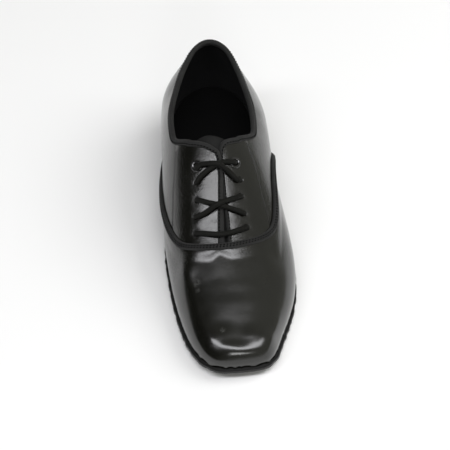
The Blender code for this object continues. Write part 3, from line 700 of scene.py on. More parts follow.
# The lining: matte black textile cemented inside the whole upper, a little behind
# the leather, and punched with it.
def cloth_finish(name, tone, pitch, depth, rough):
    """Plain woven textile read from object coordinates, with lint and worn tone."""
    cloth = Finish(name)
    warp, weft, upright = [cloth.wave(way, cloth.place, pitch, 0.6) for way in "XYZ"]
    weave = cloth.math("MAXIMUM", cloth.math("MAXIMUM", warp, weft), upright)
    level = cloth.math("MULTIPLY_ADD", weave, 0.45, cloth.math("MULTIPLY", cloth.noise(60.0, 4.0), 0.6))
    return cloth.wear(
        Base_Color=cloth.steps(level, (0.3, shaded(tone, 0.55)), (0.7, tone)),
        Normal=cloth.bump(cloth.noise(900.0, 2.0), 0.3, 0.0002, cloth.bump(weave, depth, 0.0002)),
        Roughness=rough, Specular_IOR_Level=0.12, Sheen_Weight=0.01,
    )


# Front and back of the lining, in millimetres behind the leather.
LINING_FRONT, LINING_BACK = 0.05, 0.75
lining_cloth = cloth_finish("lining_cloth", (0.0090, 0.0090, 0.0094), 800.0, 0.4, 0.9)
lining_lines = spaced((TOE_ROUND, SLIT_START, SLIT_OPEN, COLLAR_DIP), (22, 22, 2, 52, 36))
lining = shell("lining", lining_lines, 30, (-LEATHER - LINING_FRONT, -LEATHER - LINING_BACK), False)
soften_toe(lining)
punch(lining)
finish_piece(lining, lining_cloth, "insole_lining")


# The insole: a board covered with the same textile, laid on the sole inside the
# upper, its top edge rounded.
INSOLE_INSET = 2.7
INSOLE_EDGE = ((0.0, CEMENT), (0.0, 2.4), (0.25, 2.9), (0.7, 3.2), (1.4, 3.3))


def sole_lines(count):
    counts = (count // 4, count // 2, count // 4)
    return spaced((TOE_ROUND, HEEL_ROUND), counts, 0.002, 0.998)


def outline(side, lines, margin):
    """Feather line moved out by a margin that depends on the distance, and the way out."""
    x, along, outward = feather(side, lines)
    return np.stack([x, along], -1) + outward * np.reshape(margin(along), (-1, 1)), outward


def stand(spots, height):
    """Points at a height over the underside."""
    return [(x, along, float(underside(along)) + height) for x, along in spots]


def sole_sheet(name, margin, profile, columns, count):
    """Sheet along the underside; profile gives (inset, height) rows round its edge."""
    lines = sole_lines(count)
    ring, places = 2 * len(lines), np.arange(len(lines))
    points, rims = [], []
    for inset, height in profile:
        ends = [outline(side, lines, lambda along: margin(along) - inset)[0] for side in (-1, 1)]
        rims.append(ends)
        points += stand(np.concatenate([ends[0], ends[1][::-1]]), height)
    faces = ring_faces(len(profile), ring)
    for level in (0, len(profile) - 1):
        index = np.zeros((len(lines), columns), int)
        index[:, 0], index[:, -1] = level * ring + places, level * ring + ring - 1 - places
        for place, share in list(enumerate(np.linspace(0.0, 1.0, columns)))[1:-1]:
            index[:, place] = len(points) + places
            points += stand(rims[level][0] * (1.0 - share) + rims[level][1] * share, profile[level][1])
        corners = index.ravel()
        faces += [tuple(corners[list(face)]) for face in grid_faces(len(lines), columns)]
    return write_piece(name, points, faces)


insole = sole_sheet(
    "insole_sock", lambda along: -INSOLE_INSET,
    [(inset, SOLE_THICKNESS + height) for inset, height in INSOLE_EDGE], 13, 160,
)
# The insole cloth is the lining's black textile, given a darker tone as painted shade inside the shoe.
insole_cloth = cloth_finish("insole_cloth", (0.0018, 0.0018, 0.0019), 650.0, 0.5, 0.95)
finish_piece(insole, insole_cloth, "insole_lining", "insole")


# The tongue: a soft leather flap under the facings, sewn in at the foot of the
# throat, its free end cut round and turned over.
# Columns: distance, half width.
TONGUE = (
    (87.0, 14.0), (91.5, 15.0), (110.0, 19.0), (135.0, 22.5), (152.0, 24.0), (160.0, 22.5), (164.0, 18.0),
    (166.0, 10.0),
)
# Depth under the last, half thickness and rounding; then where its tip starts, where it is
# cut, how far its sides slant forward and how much it waves.
TONGUE_DEPTH, TONGUE_HALF, TONGUE_ROUNDING = 4.7, 1.1, 1.4
TONGUE_TIP, TONGUE_CUT, TONGUE_SLANT, TONGUE_WAVE = 151.0, 166.6, 0.15, 0.25


def build_tongue():
    ridge_along = ridge_point(all_lines)[0][:, 1]
    width = table_curve(TONGUE)
    stations = np.linspace(TONGUE[0][0], TONGUE_TIP - 1.0, 52), np.linspace(TONGUE_TIP, TONGUE[-1][0], 30)
    stations = np.concatenate(stations)
    across = np.sin(np.linspace(-0.5, 0.5, 41) * math.pi)
    samples = np.linspace(1.0, 0.4, 121)
    top, low = [], []
    for station in stations:
        wide = float(width(station))
        for share in across:
            side = 1 if share >= 0.0 else -1
            slant = TONGUE_SLANT * float(ease((station - 135.0) / 25.0)) * share * wide
            line = float(np.interp(station - slant, ridge_along, all_lines))
            run = run_length(last_surface(side, np.full(len(samples), line), samples))
            rise = np.interp(abs(share) * wide, run, samples)
            to_edge = min((1.0 - abs(share)) * wide, TONGUE_CUT - station)
            round_off = (1.0 - min(to_edge / TONGUE_ROUNDING, 1.0)) ** 2
            half = TONGUE_HALF * math.sqrt(max(1.0 - round_off, 0.02))
            middle = TONGUE_WAVE * math.sin(station * 0.16 + share * 2.0) - TONGUE_DEPTH
            top.append(skin(side, line, rise, middle + half))
            low.append(skin(side, line, rise, middle - half))
    rows, columns = len(stations), len(across)
    second = rows * columns
    faces = grid_faces(rows, columns) + grid_faces(rows, columns, second)
    border = list(range(columns)) + [row * columns + columns - 1 for row in range(1, rows)]
    border += [(rows - 1) * columns + place for place in range(columns - 2, -1, -1)]
    border += [row * columns for row in range(rows - 2, 0, -1)]
    for here, there in zip(border, border[1:] + border[:1]):
        faces.append((here, there, second + there, second + here))
    return write_piece("tongue_leather", top + low, faces)


tongue = build_tongue()
tongue_leather = leather_finish("tongue_leather", (0.0014, 0.0014, 0.0011), 0.80, 0.45, 0.0)
finish_piece(tongue, tongue_leather, "tongue_leather", "tongue")


# The edge tapes: matte black woven tape, one laid over the vamp's edge and one
# folded over the topline and both facing edges, each sewn down with black thread.
def tape_finish(name, tone):
    """Close twill weave that follows the tape, worn paler on its high threads."""
    tape = Finish(name)
    uv = tape.add("TexCoord", out="UV")
    slant = tape.add("Mapping", uv, Scale=(2600.0, 1500.0, 1.0), Rotation=(0.0, 0.0, 0.6))
    weave = tape.math("MULTIPLY", tape.wave("X", slant, 0.5, 0.8), tape.wave("Y", slant, 0.35, 0.5))
    level = tape.math("MULTIPLY_ADD", weave, 0.5, tape.noise(90.0, 4.0))
    return tape.wear(
        Base_Color=tape.steps(level, (0.35, shaded(tone, 0.5)), (0.95, tone)),
        Normal=tape.bump(weave, 0.5, 0.00025), Roughness=0.82, Specular_IOR_Level=0.3,
        Sheen_Weight=0.06, Sheen_Roughness=0.4,
    )


def walk(side, line, rise, direction, distance):
    """Line and rise a short way off on the last."""
    by_line, by_rise = slopes_at(side, line, rise)
    step = np.linalg.lstsq(np.stack([by_line, by_rise], -1), direction * distance, rcond=None)[0]
    return min(max(line + step[0], 0.0), 1.0), min(max(rise + step[1], 0.0), 1.0)


def sweep(name, sections, along, around):
    """Piece along a run of equal closed sections, with places along and around it as UV."""
    sections = np.asarray(sections, float)
    runs, width = sections.shape[:2]
    faces, corner_uv = ring_faces(runs, width), []
    for near, far in zip(along[:-1], along[1:]):
        for low, high in zip(around[:-1], around[1:]):
            corner_uv += [(near, low), (near, high), (far, high), (far, low)]
    for row in (0, runs - 1):
        faces.append(tuple(row * width + place for place in range(width)))
        corner_uv += [(along[row], around[place]) for place in range(width)]
    return write_piece(name, sections.reshape(-1, 3), faces, corner_uv)


def sweep_tape(name, sections):
    """Tape with its run and its girth in metres as UV."""
    sections = np.asarray(sections, float)
    middle = sections[len(sections) // 2]
    around = run_length(np.concatenate([middle, middle[:1]]))
    return sweep(name, sections, run_length(sections.mean(1)) * 0.001, around * 0.001)


def last_points(places):
    return np.array([last_surface(*place) for place in places])


def surface_run(sides, lines, rises):
    """Points of a run on the last, with the outward direction and the direction of the run."""
    places = list(zip(sides, lines, rises))
    points = last_points(places)
    normals = np.array([outward_normal(*place) for place in places])
    tangents = np.gradient(points, axis=0)
    tangents -= normals * np.sum(tangents * normals, axis=1)[:, None]
    return points, normals, unit(tangents)


def vamp_tape_run(count):
    """Evenly spaced places on the vamp's edge with the way back from it, and their outward directions."""

    def edge_places(shares):
        lines = line_at(vamp_edge_curve(np.clip(shares, -VAMP_END, VAMP_END)))
        return np.where(shares >= 0.0, 1, -1), lines, 1.0 - np.abs(shares)

    shares = np.linspace(-VAMP_END - 0.005, VAMP_END + 0.005, count)
    run = run_length(last_points(zip(*edge_places(shares))))
    places = edge_places(np.interp(np.linspace(0.0, run[-1], count), run, shares))
    points, normals, tangents = surface_run(*places)
    backs = np.cross(tangents, normals)
    backs *= np.where(backs @ (0.0, 1.0, 0.35) < 0.0, -1.0, 1.0)[:, None]
    return list(zip(*places, backs)), normals


def tape_point(side, line, rise, back, offset, height):
    return skin(side, *walk(side, line, rise, back, offset), height)


# Section of the vamp's tape, flat on the vamp in front and rounded over the edge at
# the back. Columns: distance behind the edge, height over the last.
VAMP_TAPE = (
    (-2.7, 0.85), (-2.75, 1.45), (-2.4, 1.90), (-1.7, 2.20), (-0.6, 2.40), (0.6, 2.45), (1.6, 2.30), (2.25, 2.00),
    (2.7, 1.40), (2.75, 0.45), (2.5, -0.15),
)
# Visible leg of the folded tape by distance, and how far the outer facing's tape
# reaches over the inner one in the throat.
LEG_INNER = ((88.0, 1.5), (107.0, 1.2), (117.0, 0.9), (150.0, 0.9), (156.0, 1.5), (161.0, 3.0), (166.0, 3.6))
LEG_OUTER = ((88.0, 3.9), (107.0, 3.7), (117.0, 3.2), (136.0, 2.7), (148.0, 2.7), (155.0, 3.2), (162.0, 3.6))
OVERLAP = ((112.0, 0.0), (126.0, 0.8), (136.0, 1.5), (148.0, 1.5), (152.0, 1.0), (156.0, 0.0))
FOLD_HEIGHT, LINING_SPACE = 0.95, 0.8
# Distances on the topline where the run goes on past the dip and turns round the heel.
PAST_DIP, HEEL_TURN = 186.3, 262.0


def build_vamp_tape():
    sections = []
    for place in vamp_tape_run(420)[0]:
        sections.append([tape_point(*place, offset, height) for offset, height in VAMP_TAPE])
    return sweep_tape("vamp_tape", sections)


def edge_run(count):
    """Places on the cut edge from the foot of the throat, round the heel and back, evenly
    spaced, each with its point, outward and inward directions, tape leg and overlap."""
    lines = line_at(np.concatenate([np.linspace(SLIT_OPEN, COLLAR_DIP, 420), np.linspace(PAST_DIP, HEEL_TURN, 160)]))
    lines = np.concatenate([lines, np.linspace(lines[-1], 1.0, 80)[1:]])
    run = [(1, line, rise) for line, rise in zip(lines, top_edge(1, lines)) if rise < 1.0]
    run += [(-1, line, rise) for line, rise in zip(lines, top_edge(-1, lines)) if rise < 1.0][::-1][1:]
    length = run_length(last_points(run))
    want = np.linspace(0.0, length[-1], count)
    to_heel = len(run) // 2 + 1
    half = np.interp(1.0, [place[1] for place in run[:to_heel]], length[:to_heel])
    sides = np.where(want <= half, 1, -1)
    lines, rises = [np.interp(want, length, [place[column] for place in run]) for column in (1, 2)]
    found = []
    for side, line, rise, point, normal, tangent in zip(sides, lines, rises, *surface_run(sides, lines, rises)):
        inward = np.cross(normal, tangent)
        if np.dot(inward, slopes_at(side, line, rise)[1]) > 0.0:
            inward = -inward
        leg, over = [
            float(np.interp(mean_along(line), *zip(*table)))
            for table in (LEG_INNER if side > 0 else LEG_OUTER, OVERLAP)
        ]
        found.append((side, line, rise, point, normal, inward, leg, over))
    return found


def build_collar_tape():
    """Folded tape section: outer leg, round fold over the raw edge, inner leg."""
    sections = []
    middle = -0.5 * (LEATHER + LINING_SPACE)
    radius = FOLD_HEIGHT - middle
    for side, line, rise, point, normal, inward, leg, over in edge_run(640):
        shift, lift = (0.0, -0.7 * over) if side > 0 else (over, 0.7 * over)
        deep = walk(side, line, rise, inward, max(leg - shift, 0.35))
        half = walk(side, line, rise, inward, max(0.5 * leg - shift, 0.0))
        base = float(relief(side, np.array(deep[0]), np.array(deep[1])))
        point = point - inward * shift + normal * lift
        section = [skin(side, *deep, base - 0.15), skin(side, *deep, base + 0.55)]
        section.append(skin(side, *half, FOLD_HEIGHT + 0.7 * lift))
        for angle in np.linspace(0.0, math.pi, 9):
            out, high = 0.72 * radius * math.sin(angle), middle + math.cos(angle) * radius
            section.append(point - inward * out + normal * high)
        for place, depth in ((half, 1.75), (deep, 1.45), (deep, 0.4)):
            section.append(skin(side, *place, -LEATHER - depth))
        sections.append(section)
    return sweep_tape("collar_tape", sections)


tape_cloth = tape_finish("tape_cloth", (0.0250, 0.0250, 0.0245))
vamp_tape = build_vamp_tape()
finish_piece(vamp_tape, tape_cloth, "binding_tape", "vamp_binding")
collar_tape = build_collar_tape()
finish_piece(collar_tape, tape_cloth, "binding_tape", "collar_binding")


# The seams: lockstitched black thread in two rows on the vamp tape, one row on the
# folded tape and two rows along the edge of each eyestay.
def thread_finish(name, tone):
    """Waxed twisted thread: ply ridges across each stitch."""
    thread = Finish(name)
    ply = thread.noise(2200.0, 2.0)
    return thread.wear(
        Base_Color=thread.steps(ply, (0.3, (0.4 * tone,) * 3), (0.7, (tone,) * 3)),
        Normal=thread.bump(ply, 0.4, 0.0001), Roughness=0.8, Specular_IOR_Level=0.02,
    )


def row_tree(name, sizes, order, shape, turned, material, grown=None):
    """Tree that sets one small shape at an even pitch on runs of edges; sizes are its inputs."""
    group = bpy.data.node_groups.new(name, "GeometryNodeTree")
    nodes, face, sockets = Nodes(group, "GeometryNode"), group.interface, []
    face.new_socket("Geometry", in_out="INPUT", socket_type="NodeSocketGeometry")
    for label, value in sizes:
        socket = face.new_socket(label, in_out="INPUT", socket_type="NodeSocketFloat")
        socket.default_value = value
        sockets.append(socket.identifier)
    face.new_socket("Geometry", in_out="OUTPUT", socket_type="NodeSocketGeometry")
    start, end = group.nodes.new("NodeGroupInput").outputs, group.nodes.new("NodeGroupOutput")
    curve = nodes.add("MeshToCurve", start["Geometry"])
    points = nodes.add("ResampleCurve", mode="LENGTH", Curve=curve, Length=start["Pitch"])
    scale = nodes.add("ShaderNodeCombineXYZ", *[start[label] for label in order])
    one = nodes.add("Transform", Geometry=shape(nodes), Scale=scale)
    way = nodes.add("InputNamedAttribute", data_type="FLOAT_VECTOR", Name="surface_way")
    rotation, growth = turned(nodes, way), grown(nodes) if grown else None
    row = nodes.add("InstanceOnPoints", Points=points, Instance=one, Rotation=rotation, Scale=growth)
    real = nodes.add("RealizeInstances", row)
    if grown is None:  # stitches are smooth, fibres keep their facets
        real = nodes.add("SetShadeSmooth", real)
    group.links.new(nodes.add("SetMaterial", real, Material=material), end.inputs[0])
    return group, sockets


def stitch_tree(material):
    """Stitches that lie along a seam, flat on the surface."""

    def bead(nodes):
        return nodes.add("MeshUVSphere", Segments=8, Rings=6, Radius=0.5)

    def laid(nodes, way):
        aim = "FunctionNodeAlignRotationToVector"
        forward = nodes.add(aim, axis="X", Vector=nodes.add("InputTangent"))
        return nodes.add(aim, axis="Z", pivot_axis="X", Rotation=forward, Vector=way)

    sizes = (("Pitch", 0.0028), ("Stitch Length", 0.0021), ("Thread Width", 0.0006))
    order = ("Stitch Length", "Thread Width", "Thread Width")
    return row_tree("stitch_row", sizes, order, bead, laid, material)


def row_piece(name, runs, made_tree, sizes, material, slot):
    """One piece from runs of points with their surface directions."""
    points, ways, edges = [], [], []
    for run, way in runs:
        edges += [(place, place + 1) for place in range(len(points), len(points) + len(run) - 1)]
        points += to_frame(run).tolist()
        ways += list(way)
    mesh = bpy.data.meshes.new(name)
    mesh.from_pydata(points, edges, [])
    layer = mesh.attributes.new("surface_way", "FLOAT_VECTOR", "POINT")
    layer.data.foreach_set("vector", np.asarray(ways, float).ravel())
    piece = put(name, mesh)
    rows = piece.modifiers.new("rows", "NODES")
    rows.node_group, sockets = made_tree
    for socket, size in zip(sockets, sizes):
        rows[socket] = size
    bake(piece)
    finish_piece(piece, material, slot)


# Rows on the vamp tape: distances behind the edge and height over the vamp. Row on the folded
# tape: share of the leg. Rows of the eyestay: both ends, offsets, and distance kept from the
# vamp's edge and, as a share, from the facing's.
TAPE_OFFSETS, TAPE_ROW_HEIGHT, LEG_SHARE = (-0.55, 0.95), 1.22, 0.62
STAY_TOP, STAY_FOOT, STAY_OFFSETS = 167.0, 104.0, (-0.9, 0.9)
FROM_VAMP, FROM_FACING = 2.4, 0.035


def tape_rows():
    places, normals = vamp_tape_run(300)
    return [
        ([tape_point(*place, offset, VAMP_LIFT + TAPE_ROW_HEIGHT) for place in places], normals)
        for offset in TAPE_OFFSETS
    ]


def binding_rows():
    run, normals = [], []
    for side, line, rise, point, normal, inward, leg, over in edge_run(420)[4:-4]:
        shift, lift = (0.0, -0.5 * over) if side > 0 else (over, 0.55 * over)
        deep = LEG_SHARE * leg - shift
        place = walk(side, line, rise, inward, deep) if deep > 0.0 else (line, rise)
        run.append(skin(side, *place, FOLD_HEIGHT + lift))
        normals.append(normal)
    return [(run, normals)]


def stay_rows():
    rows = []
    for side, table in ((1, EYESTAY), (-1, EYESTAY_OUTER)):
        shares = Curve([-row[1] for row in table], [abs(row[0]) for row in table])
        alongs = np.linspace(min(table[0][1] - 3.0, STAY_TOP), STAY_FOOT, 120)
        for offset in STAY_OFFSETS:
            lines, rises = line_at(alongs), 1.0 - shares(-alongs) - offset / GIRTH
            keep = (vamp_gap(side, lines, rises) < -FROM_VAMP) & (rises < top_edge(side, lines) - FROM_FACING)
            lines, rises = lines[keep], rises[keep]
            run = skin(side, lines, rises, relief(side, lines, rises) + 0.08)
            rows.append((run, outward_normal(side, lines, rises)))
    return rows


# Thread tones hold painted light: the tape thread is darker than the black tape as painted shade of its stitch holes,
# and the eyestay thread is paler than black as painted sheen, light caught on the stitches.
seam_thread, sheen_painted_thread = thread_finish("seam_thread", 0.0012), thread_finish("sheen_painted_thread", 0.040)
tape_tree, stay_tree = stitch_tree(seam_thread), stitch_tree(sheen_painted_thread)
for row_name, row_runs, row_made, row_sizes, row_thread in (
    ("vamp_tape_stitches", tape_rows(), tape_tree, (0.0026, 0.0014, 0.00115), seam_thread),
    ("collar_tape_stitches", binding_rows(), tape_tree, (0.0027, 0.0015, 0.00115), seam_thread),
    ("eyestay_stitches", stay_rows(), stay_tree, (0.0025, 0.0017, 0.00050), sheen_painted_thread),
):
    row_piece(row_name, row_runs, row_made, row_sizes, row_thread, "binding_tape")


# The eyelets: two-part metal eyelets with a rolled lip, dark nickel, set in the top
# pair of holes.
EYELET_SIDES = 56
# Columns of the barrel: radius, height. The lip: middle radius, half width, foot and height.
EYELET_BARREL = ((2.45, -1.9), (2.95, -1.9), (2.95, 0.12), (4.75, 0.10))
LIP_RADIUS, LIP_HALF, LIP_FOOT, LIP_HEIGHT = 3.65, 1.2, 0.28, 0.85


def eyelet_finish():
    metal = Finish("dark_nickel")
    rub = metal.noise(700.0, 5.0)
    return metal.wear(
        Base_Color=metal.steps(rub, (0.3, (0.07, 0.07, 0.072)), (0.75, (0.15, 0.15, 0.152))),
        Roughness=metal.add("MapRange", rub, 0.0, 1.0, 0.08, 0.22), Metallic=1.0,
    )


def build_eyelet(name, side, line, rise):
    """Rolled lip on the face, barrel through the leather, all turned about the hole."""
    centre = skin(side, line, rise, float(relief(side, np.array(line), np.array(rise))))
    normal = outward_normal(side, line, rise)
    profile = list(EYELET_BARREL)
    for angle in np.linspace(0.0, math.pi, 12):
        profile.append((LIP_RADIUS + LIP_HALF * math.cos(angle), LIP_FOOT + LIP_HEIGHT * math.sin(angle)))
    points = []
    for out in hole_spokes(normal, EYELET_SIDES):
        points += [centre + out * radius + normal * height for radius, height in profile]
    return write_piece(name, points, ring_faces(EYELET_SIDES, len(profile), closed=True))


dark_nickel = eyelet_finish()
for hole_index, hole_side, hole_line, hole_rise in hole_places()[:2]:
    which = "inner" if hole_side > 0 else "outer"
    ring = build_eyelet("eyelet_ring_" + which, hole_side, hole_line, hole_rise)
    finish_piece(ring, dark_nickel, "eyelet_metal", "eyelet_" + which)


# The lace: one round braided cord of black cotton, threaded from the outer top eyelet
# through every hole and back to the inner top eyelet, where both ends go inside.
LACE_RADIUS, LACE_SIDES, LACE_STEP = 2.0, 18, 0.7
BRAID_PITCH, BRAID_STRANDS = 560.0, 6.0


def lace_finish():
    """Braid of two sets of strands that cross at a slant along the cord."""
    braid = Finish("lace_braid")
    uv = braid.add("TexCoord", out="UV")
    along = braid.math("MULTIPLY", braid.add("SeparateXYZ", uv, out="X"), 2.0 * math.pi * BRAID_PITCH)
    waves = []
    for turns in (BRAID_STRANDS, -BRAID_STRANDS):
        around = braid.math("MULTIPLY", braid.add("SeparateXYZ", uv, out="Y"), 2.0 * math.pi * turns)
        waves.append(braid.math("SINE", braid.math("ADD", along, around)))
    level = braid.math("MULTIPLY_ADD", braid.math("MULTIPLY", *waves), 0.3, braid.noise(1400.0, 3.0))
    return braid.wear(
        Base_Color=braid.steps(level, (0.25, (0.0022, 0.0022, 0.0017)), (0.75, (0.0062, 0.0063, 0.0047))),
        Normal=braid.bump(level, 0.6, 0.0003), Roughness=0.7, Specular_IOR_Level=0.2,
        Sheen_Weight=0.02, Sheen_Roughness=0.45,
    )


# Outside strands in lacing order: lift where one crosses over another, then rows of
# distance and girth share between its two holes.
STRANDS = (
    (3.3, ((143.7, -0.209), (145.0, -0.182), (145.1, -0.132), (144.2, -0.072), (143.2, -0.016), (141.0, 0.029),
           (137.8, 0.078), (134.0, 0.132))),
    (3.3, ((121.8, 0.128), (119.5, 0.078), (117.3, 0.026), (114.1, -0.055), (111.8, -0.118), (110.1, -0.183),
           (110.2, -0.248))),
    (0.0, ((98.3, -0.272), (96.2, -0.209), (93.9, -0.131), (92.5, -0.055), (93.3, 0.018), (95.8, 0.083),
           (98.4, 0.138))),
    (0.0, ((110.4, 0.135), (111.1, 0.095), (112.6, 0.029), (113.9, -0.025), (115.8, -0.091), (118.3, -0.158),
           (121.4, -0.222))),
    (0.0, ((135.0, -0.216), (136.6, -0.190), (138.8, -0.142), (141.6, -0.076), (143.8, -0.013), (145.8, 0.038),
           (146.7, 0.099))),
)
# Order of the holes as pair and side, and heights of a strand from its hole inwards.
LACING = ((0, -1), (1, 1), (2, 1), (3, -1), (4, -1), (4, 1), (3, 1), (2, -1), (1, -1), (0, 1))
STRAND_HEIGHTS = (1.9, 2.5, 2.9, 3.1)
END_HEIGHTS, TURN_HEIGHTS = (0.2, -2.5, -5.0), (0.3, -1.0, -2.2)
# Girth share where the strands cross, and half the width of the lift there.
CROSSING_SHARE, CROSSING_HALF = -0.03, 0.075


def lace_route():
    """Points of the whole cord: outside strands over the throat, inside runs behind."""
    holes = {}
    for index, side, line, rise in hole_places():
        holes[index, side] = (side * (1.0 - rise), float(mean_along(line)))

    def lay(girth, along, height):
        return skin(1 if girth >= 0.0 else -1, float(line_at(along)), 1.0 - abs(girth), height)

    route = [lay(*holes[LACING[0]], height) for height in END_HEIGHTS[::-1]]
    for step, (here, there) in enumerate(zip(LACING[:-1], LACING[1:])):
        if step % 2 == 0:
            lift, rows = STRANDS[step // 2]
            for place, (along, girth) in enumerate(rows):
                from_hole = min(place, len(rows) - 1 - place, len(STRAND_HEIGHTS) - 1)
                over = lift * math.exp(-((girth - CROSSING_SHARE) / CROSSING_HALF) ** 2)
                route.append(lay(girth, along, STRAND_HEIGHTS[from_hole] + over))
            last = END_HEIGHTS if step == len(LACING) - 2 else TURN_HEIGHTS
            route += [lay(*holes[there], height) for height in last]
        else:
            start, end = np.array(holes[here]), np.array(holes[there])
            for share in np.linspace(0.0, 1.0, 9)[1:-1]:
                deep = 1.0 + 2.0 * ease(min(share, 1.0 - share) / 0.25)
                route.append(lay(*(start * (1.0 - share) + end * share), -LEATHER - deep))
            route += [lay(*end, height) for height in TURN_HEIGHTS[::-1]]
    return np.array(route)


def build_lace():
    """Tube of even rings on a smooth curve through the route."""
    route = lace_route()
    knots = run_length(route, 0.5)
    dense = Curve(knots, route)(np.linspace(knots[0], knots[-1], 6000))
    run = run_length(dense)
    even = np.linspace(0.0, run[-1], int(run[-1] / LACE_STEP))
    path = np.stack([np.interp(even, run, dense[:, axis]) for axis in range(3)], -1)
    tangents = unit(np.gradient(path, axis=0))
    way = np.cross(tangents[0], (0.0, 0.0, 1.0))
    sections = []
    for point, tangent in zip(path, tangents):
        way = unit(way - tangent * np.dot(way, tangent))
        sections.append(point + LACE_RADIUS * spokes(way, np.cross(tangent, way), LACE_SIDES))
    return sweep("lace", sections, even * 0.001, np.arange(LACE_SIDES + 1) / LACE_SIDES)


lace_braid = lace_finish()
lace = build_lace()
finish_piece(lace, lace_braid, "lace_cord", "lace_bar", "lace_cross_lower", "lace_cross_upper")


# The outsole: one thin sheet of black suede from toe to heel seat, cut by hand, so
# its edge is a little uneven, with loose fibres standing from the cut.
# Columns of its edge: inset, height.
SOLE_EDGE = ((0.35, 0.0), (0.0, 0.35), (-0.05, 1.4), (0.0, 2.6), (0.1, SOLE_THICKNESS - 0.25), (0.4, SOLE_THICKNESS))
SOLE_COUNT = 420
FIBRE_HEIGHTS, FIBRE_SIZES = (0.9, 1.5, 2.3, 3.2), (0.0012, 0.0008, 0.00012)
# Margin of the sole in front and at the shank, its wander and nicks, and where fibres start.
MARGIN_FRONT, MARGIN_SHANK, WANDER, NICKS, FIBRE_ROOT = 2.1, 0.7, 0.30, 0.10, 0.15


def suede_finish():
    """Brushed nap: pale and dark patches, short fibres and no gloss."""
    suede = Finish("sole_suede")
    patch, nap = suede.noise(45.0, 5.0, 0.65), suede.noise(900.0, 4.0, 0.7)
    level = suede.math("MULTIPLY_ADD", nap, 0.55, suede.math("MULTIPLY", patch, 0.5))
    return suede.wear(
        Base_Color=suede.steps(level, (0.35, (0.0024, 0.0024, 0.0024)), (0.70, (0.0078, 0.0077, 0.0076))),
        Normal=suede.bump(nap, 0.8, 0.0004), Roughness=0.95, Specular_IOR_Level=0.2,
        Sheen_Weight=0.3, Sheen_Roughness=0.5,
    )


def cut_edge(along):
    """Hand-cut outline, narrower at the shank: slow wander with small nicks."""
    fall = ease((along - 105.0) / 55.0)
    slow = np.sin(along * 0.61 + 1.2 * np.sin(along * 0.17)) * np.sin(along * 0.113 + 1.0)
    nicks = np.sin(along * 1.31 + 2.0 * np.sin(along * 0.23)) * np.sin(along * 0.29 + 0.6)
    return MARGIN_FRONT * (1.0 - fall) + MARGIN_SHANK * fall + WANDER * slow + NICKS * nicks


outsole = sole_sheet("sole_suede", cut_edge, SOLE_EDGE, 21, SOLE_COUNT)
sole_suede = suede_finish()
finish_piece(outsole, sole_suede, "sole_suede", "outsole")


def fibre_tree(material):
    """Short loose fibres, each turned and sized at random."""

    def fibre(nodes):
        return nodes.add("MeshCone", Vertices=4, Radius_Top=0.15, Radius_Bottom=0.5, Depth=1.0)

    def astray(nodes, way):
        stray = nodes.add(
            "FunctionNodeRandomValue", data_type="FLOAT_VECTOR", Min=(-0.8, -0.8, -0.3), Max=(0.8, 0.8, 0.5), Seed=7,
        )
        total = nodes.add("ShaderNodeVectorMath", way, stray)
        return nodes.add("FunctionNodeAlignRotationToVector", axis="Z", Vector=total)

    def grown(nodes):
        return nodes.add("FunctionNodeRandomValue", None, None, 0.25, 1.0, data_type="FLOAT", Seed=3, out=1)

    sizes = (("Pitch", 0.0005), ("Fibre Length", 0.0011), ("Fibre Width", 0.00012))
    order = ("Fibre Width", "Fibre Width", "Fibre Length")
    return row_tree("edge_fibres", sizes, order, fibre, astray, material, grown)


def fibre_runs():
    lines = sole_lines(SOLE_COUNT)
    runs = []
    for height in FIBRE_HEIGHTS:
        ring, ways = [], []
        for side, order in ((-1, lines), (1, lines[::-1])):
            edge, outward = outline(side, order, lambda along: cut_edge(along) + FIBRE_ROOT)
            ring += stand(edge, height)
            ways += [(ox, oy, 0.0) for ox, oy in outward]
        runs.append((ring, ways))
    return runs


row_piece("sole_edge_fibres", fibre_runs(), fibre_tree(sole_suede), FIBRE_SIZES, sole_suede, "sole_suede")


# The heel: a block of leather lifts, shaped, blacked and polished, pegged under the
# seat, with a thin rubber top piece that takes the wear.
TOP_PIECE, LIFT_HEIGHT = 3.3, 4.9
# Margin over the feather, share of the width lost downwards, rake of the breast and the back.
HEEL_MARGIN, HEEL_TAPER, BREAST_RAKE, BACK_RAKE = 0.7, 0.10, 4.0, 5.0
# Rounded ends of the block as height and inset, levels between them, grooves between lifts.
HEEL_FOOT, HEEL_HEAD = ((TOP_PIECE, 0.5), (3.45, 0.2), (3.7, 0.0)), ((27.3, 0.0), (27.55, 0.15), (27.7, 0.5))
HEEL_LEVELS, GROOVE_DEPTH, GROOVE_HALF = (4.4, 27.0, 0.55), 0.16, 0.35


def heel_finish():
    """Edge dressing over stacked lifts: fine level lines under a satin black."""
    stack = Finish("heel_lifts")
    stretch = stack.add("Mapping", stack.place, Scale=(40.0, 40.0, 1800.0))
    layers = stack.add("TexNoise", stretch, Scale=1.0, Detail=2.0, out="Fac")
    return stack.wear(
        Base_Color=stack.steps(layers, (0.3, (0.008, 0.008, 0.008)), (0.75, (0.020, 0.020, 0.020))),
        Roughness=stack.add("MapRange", stack.noise(110.0, 5.0), 0.0, 1.0, 0.28, 0.52),
        Normal=stack.bump(stack.noise(1100.0, 3.0), 0.15, 0.0001, stack.bump(layers, 0.35, 0.0002)),
    )


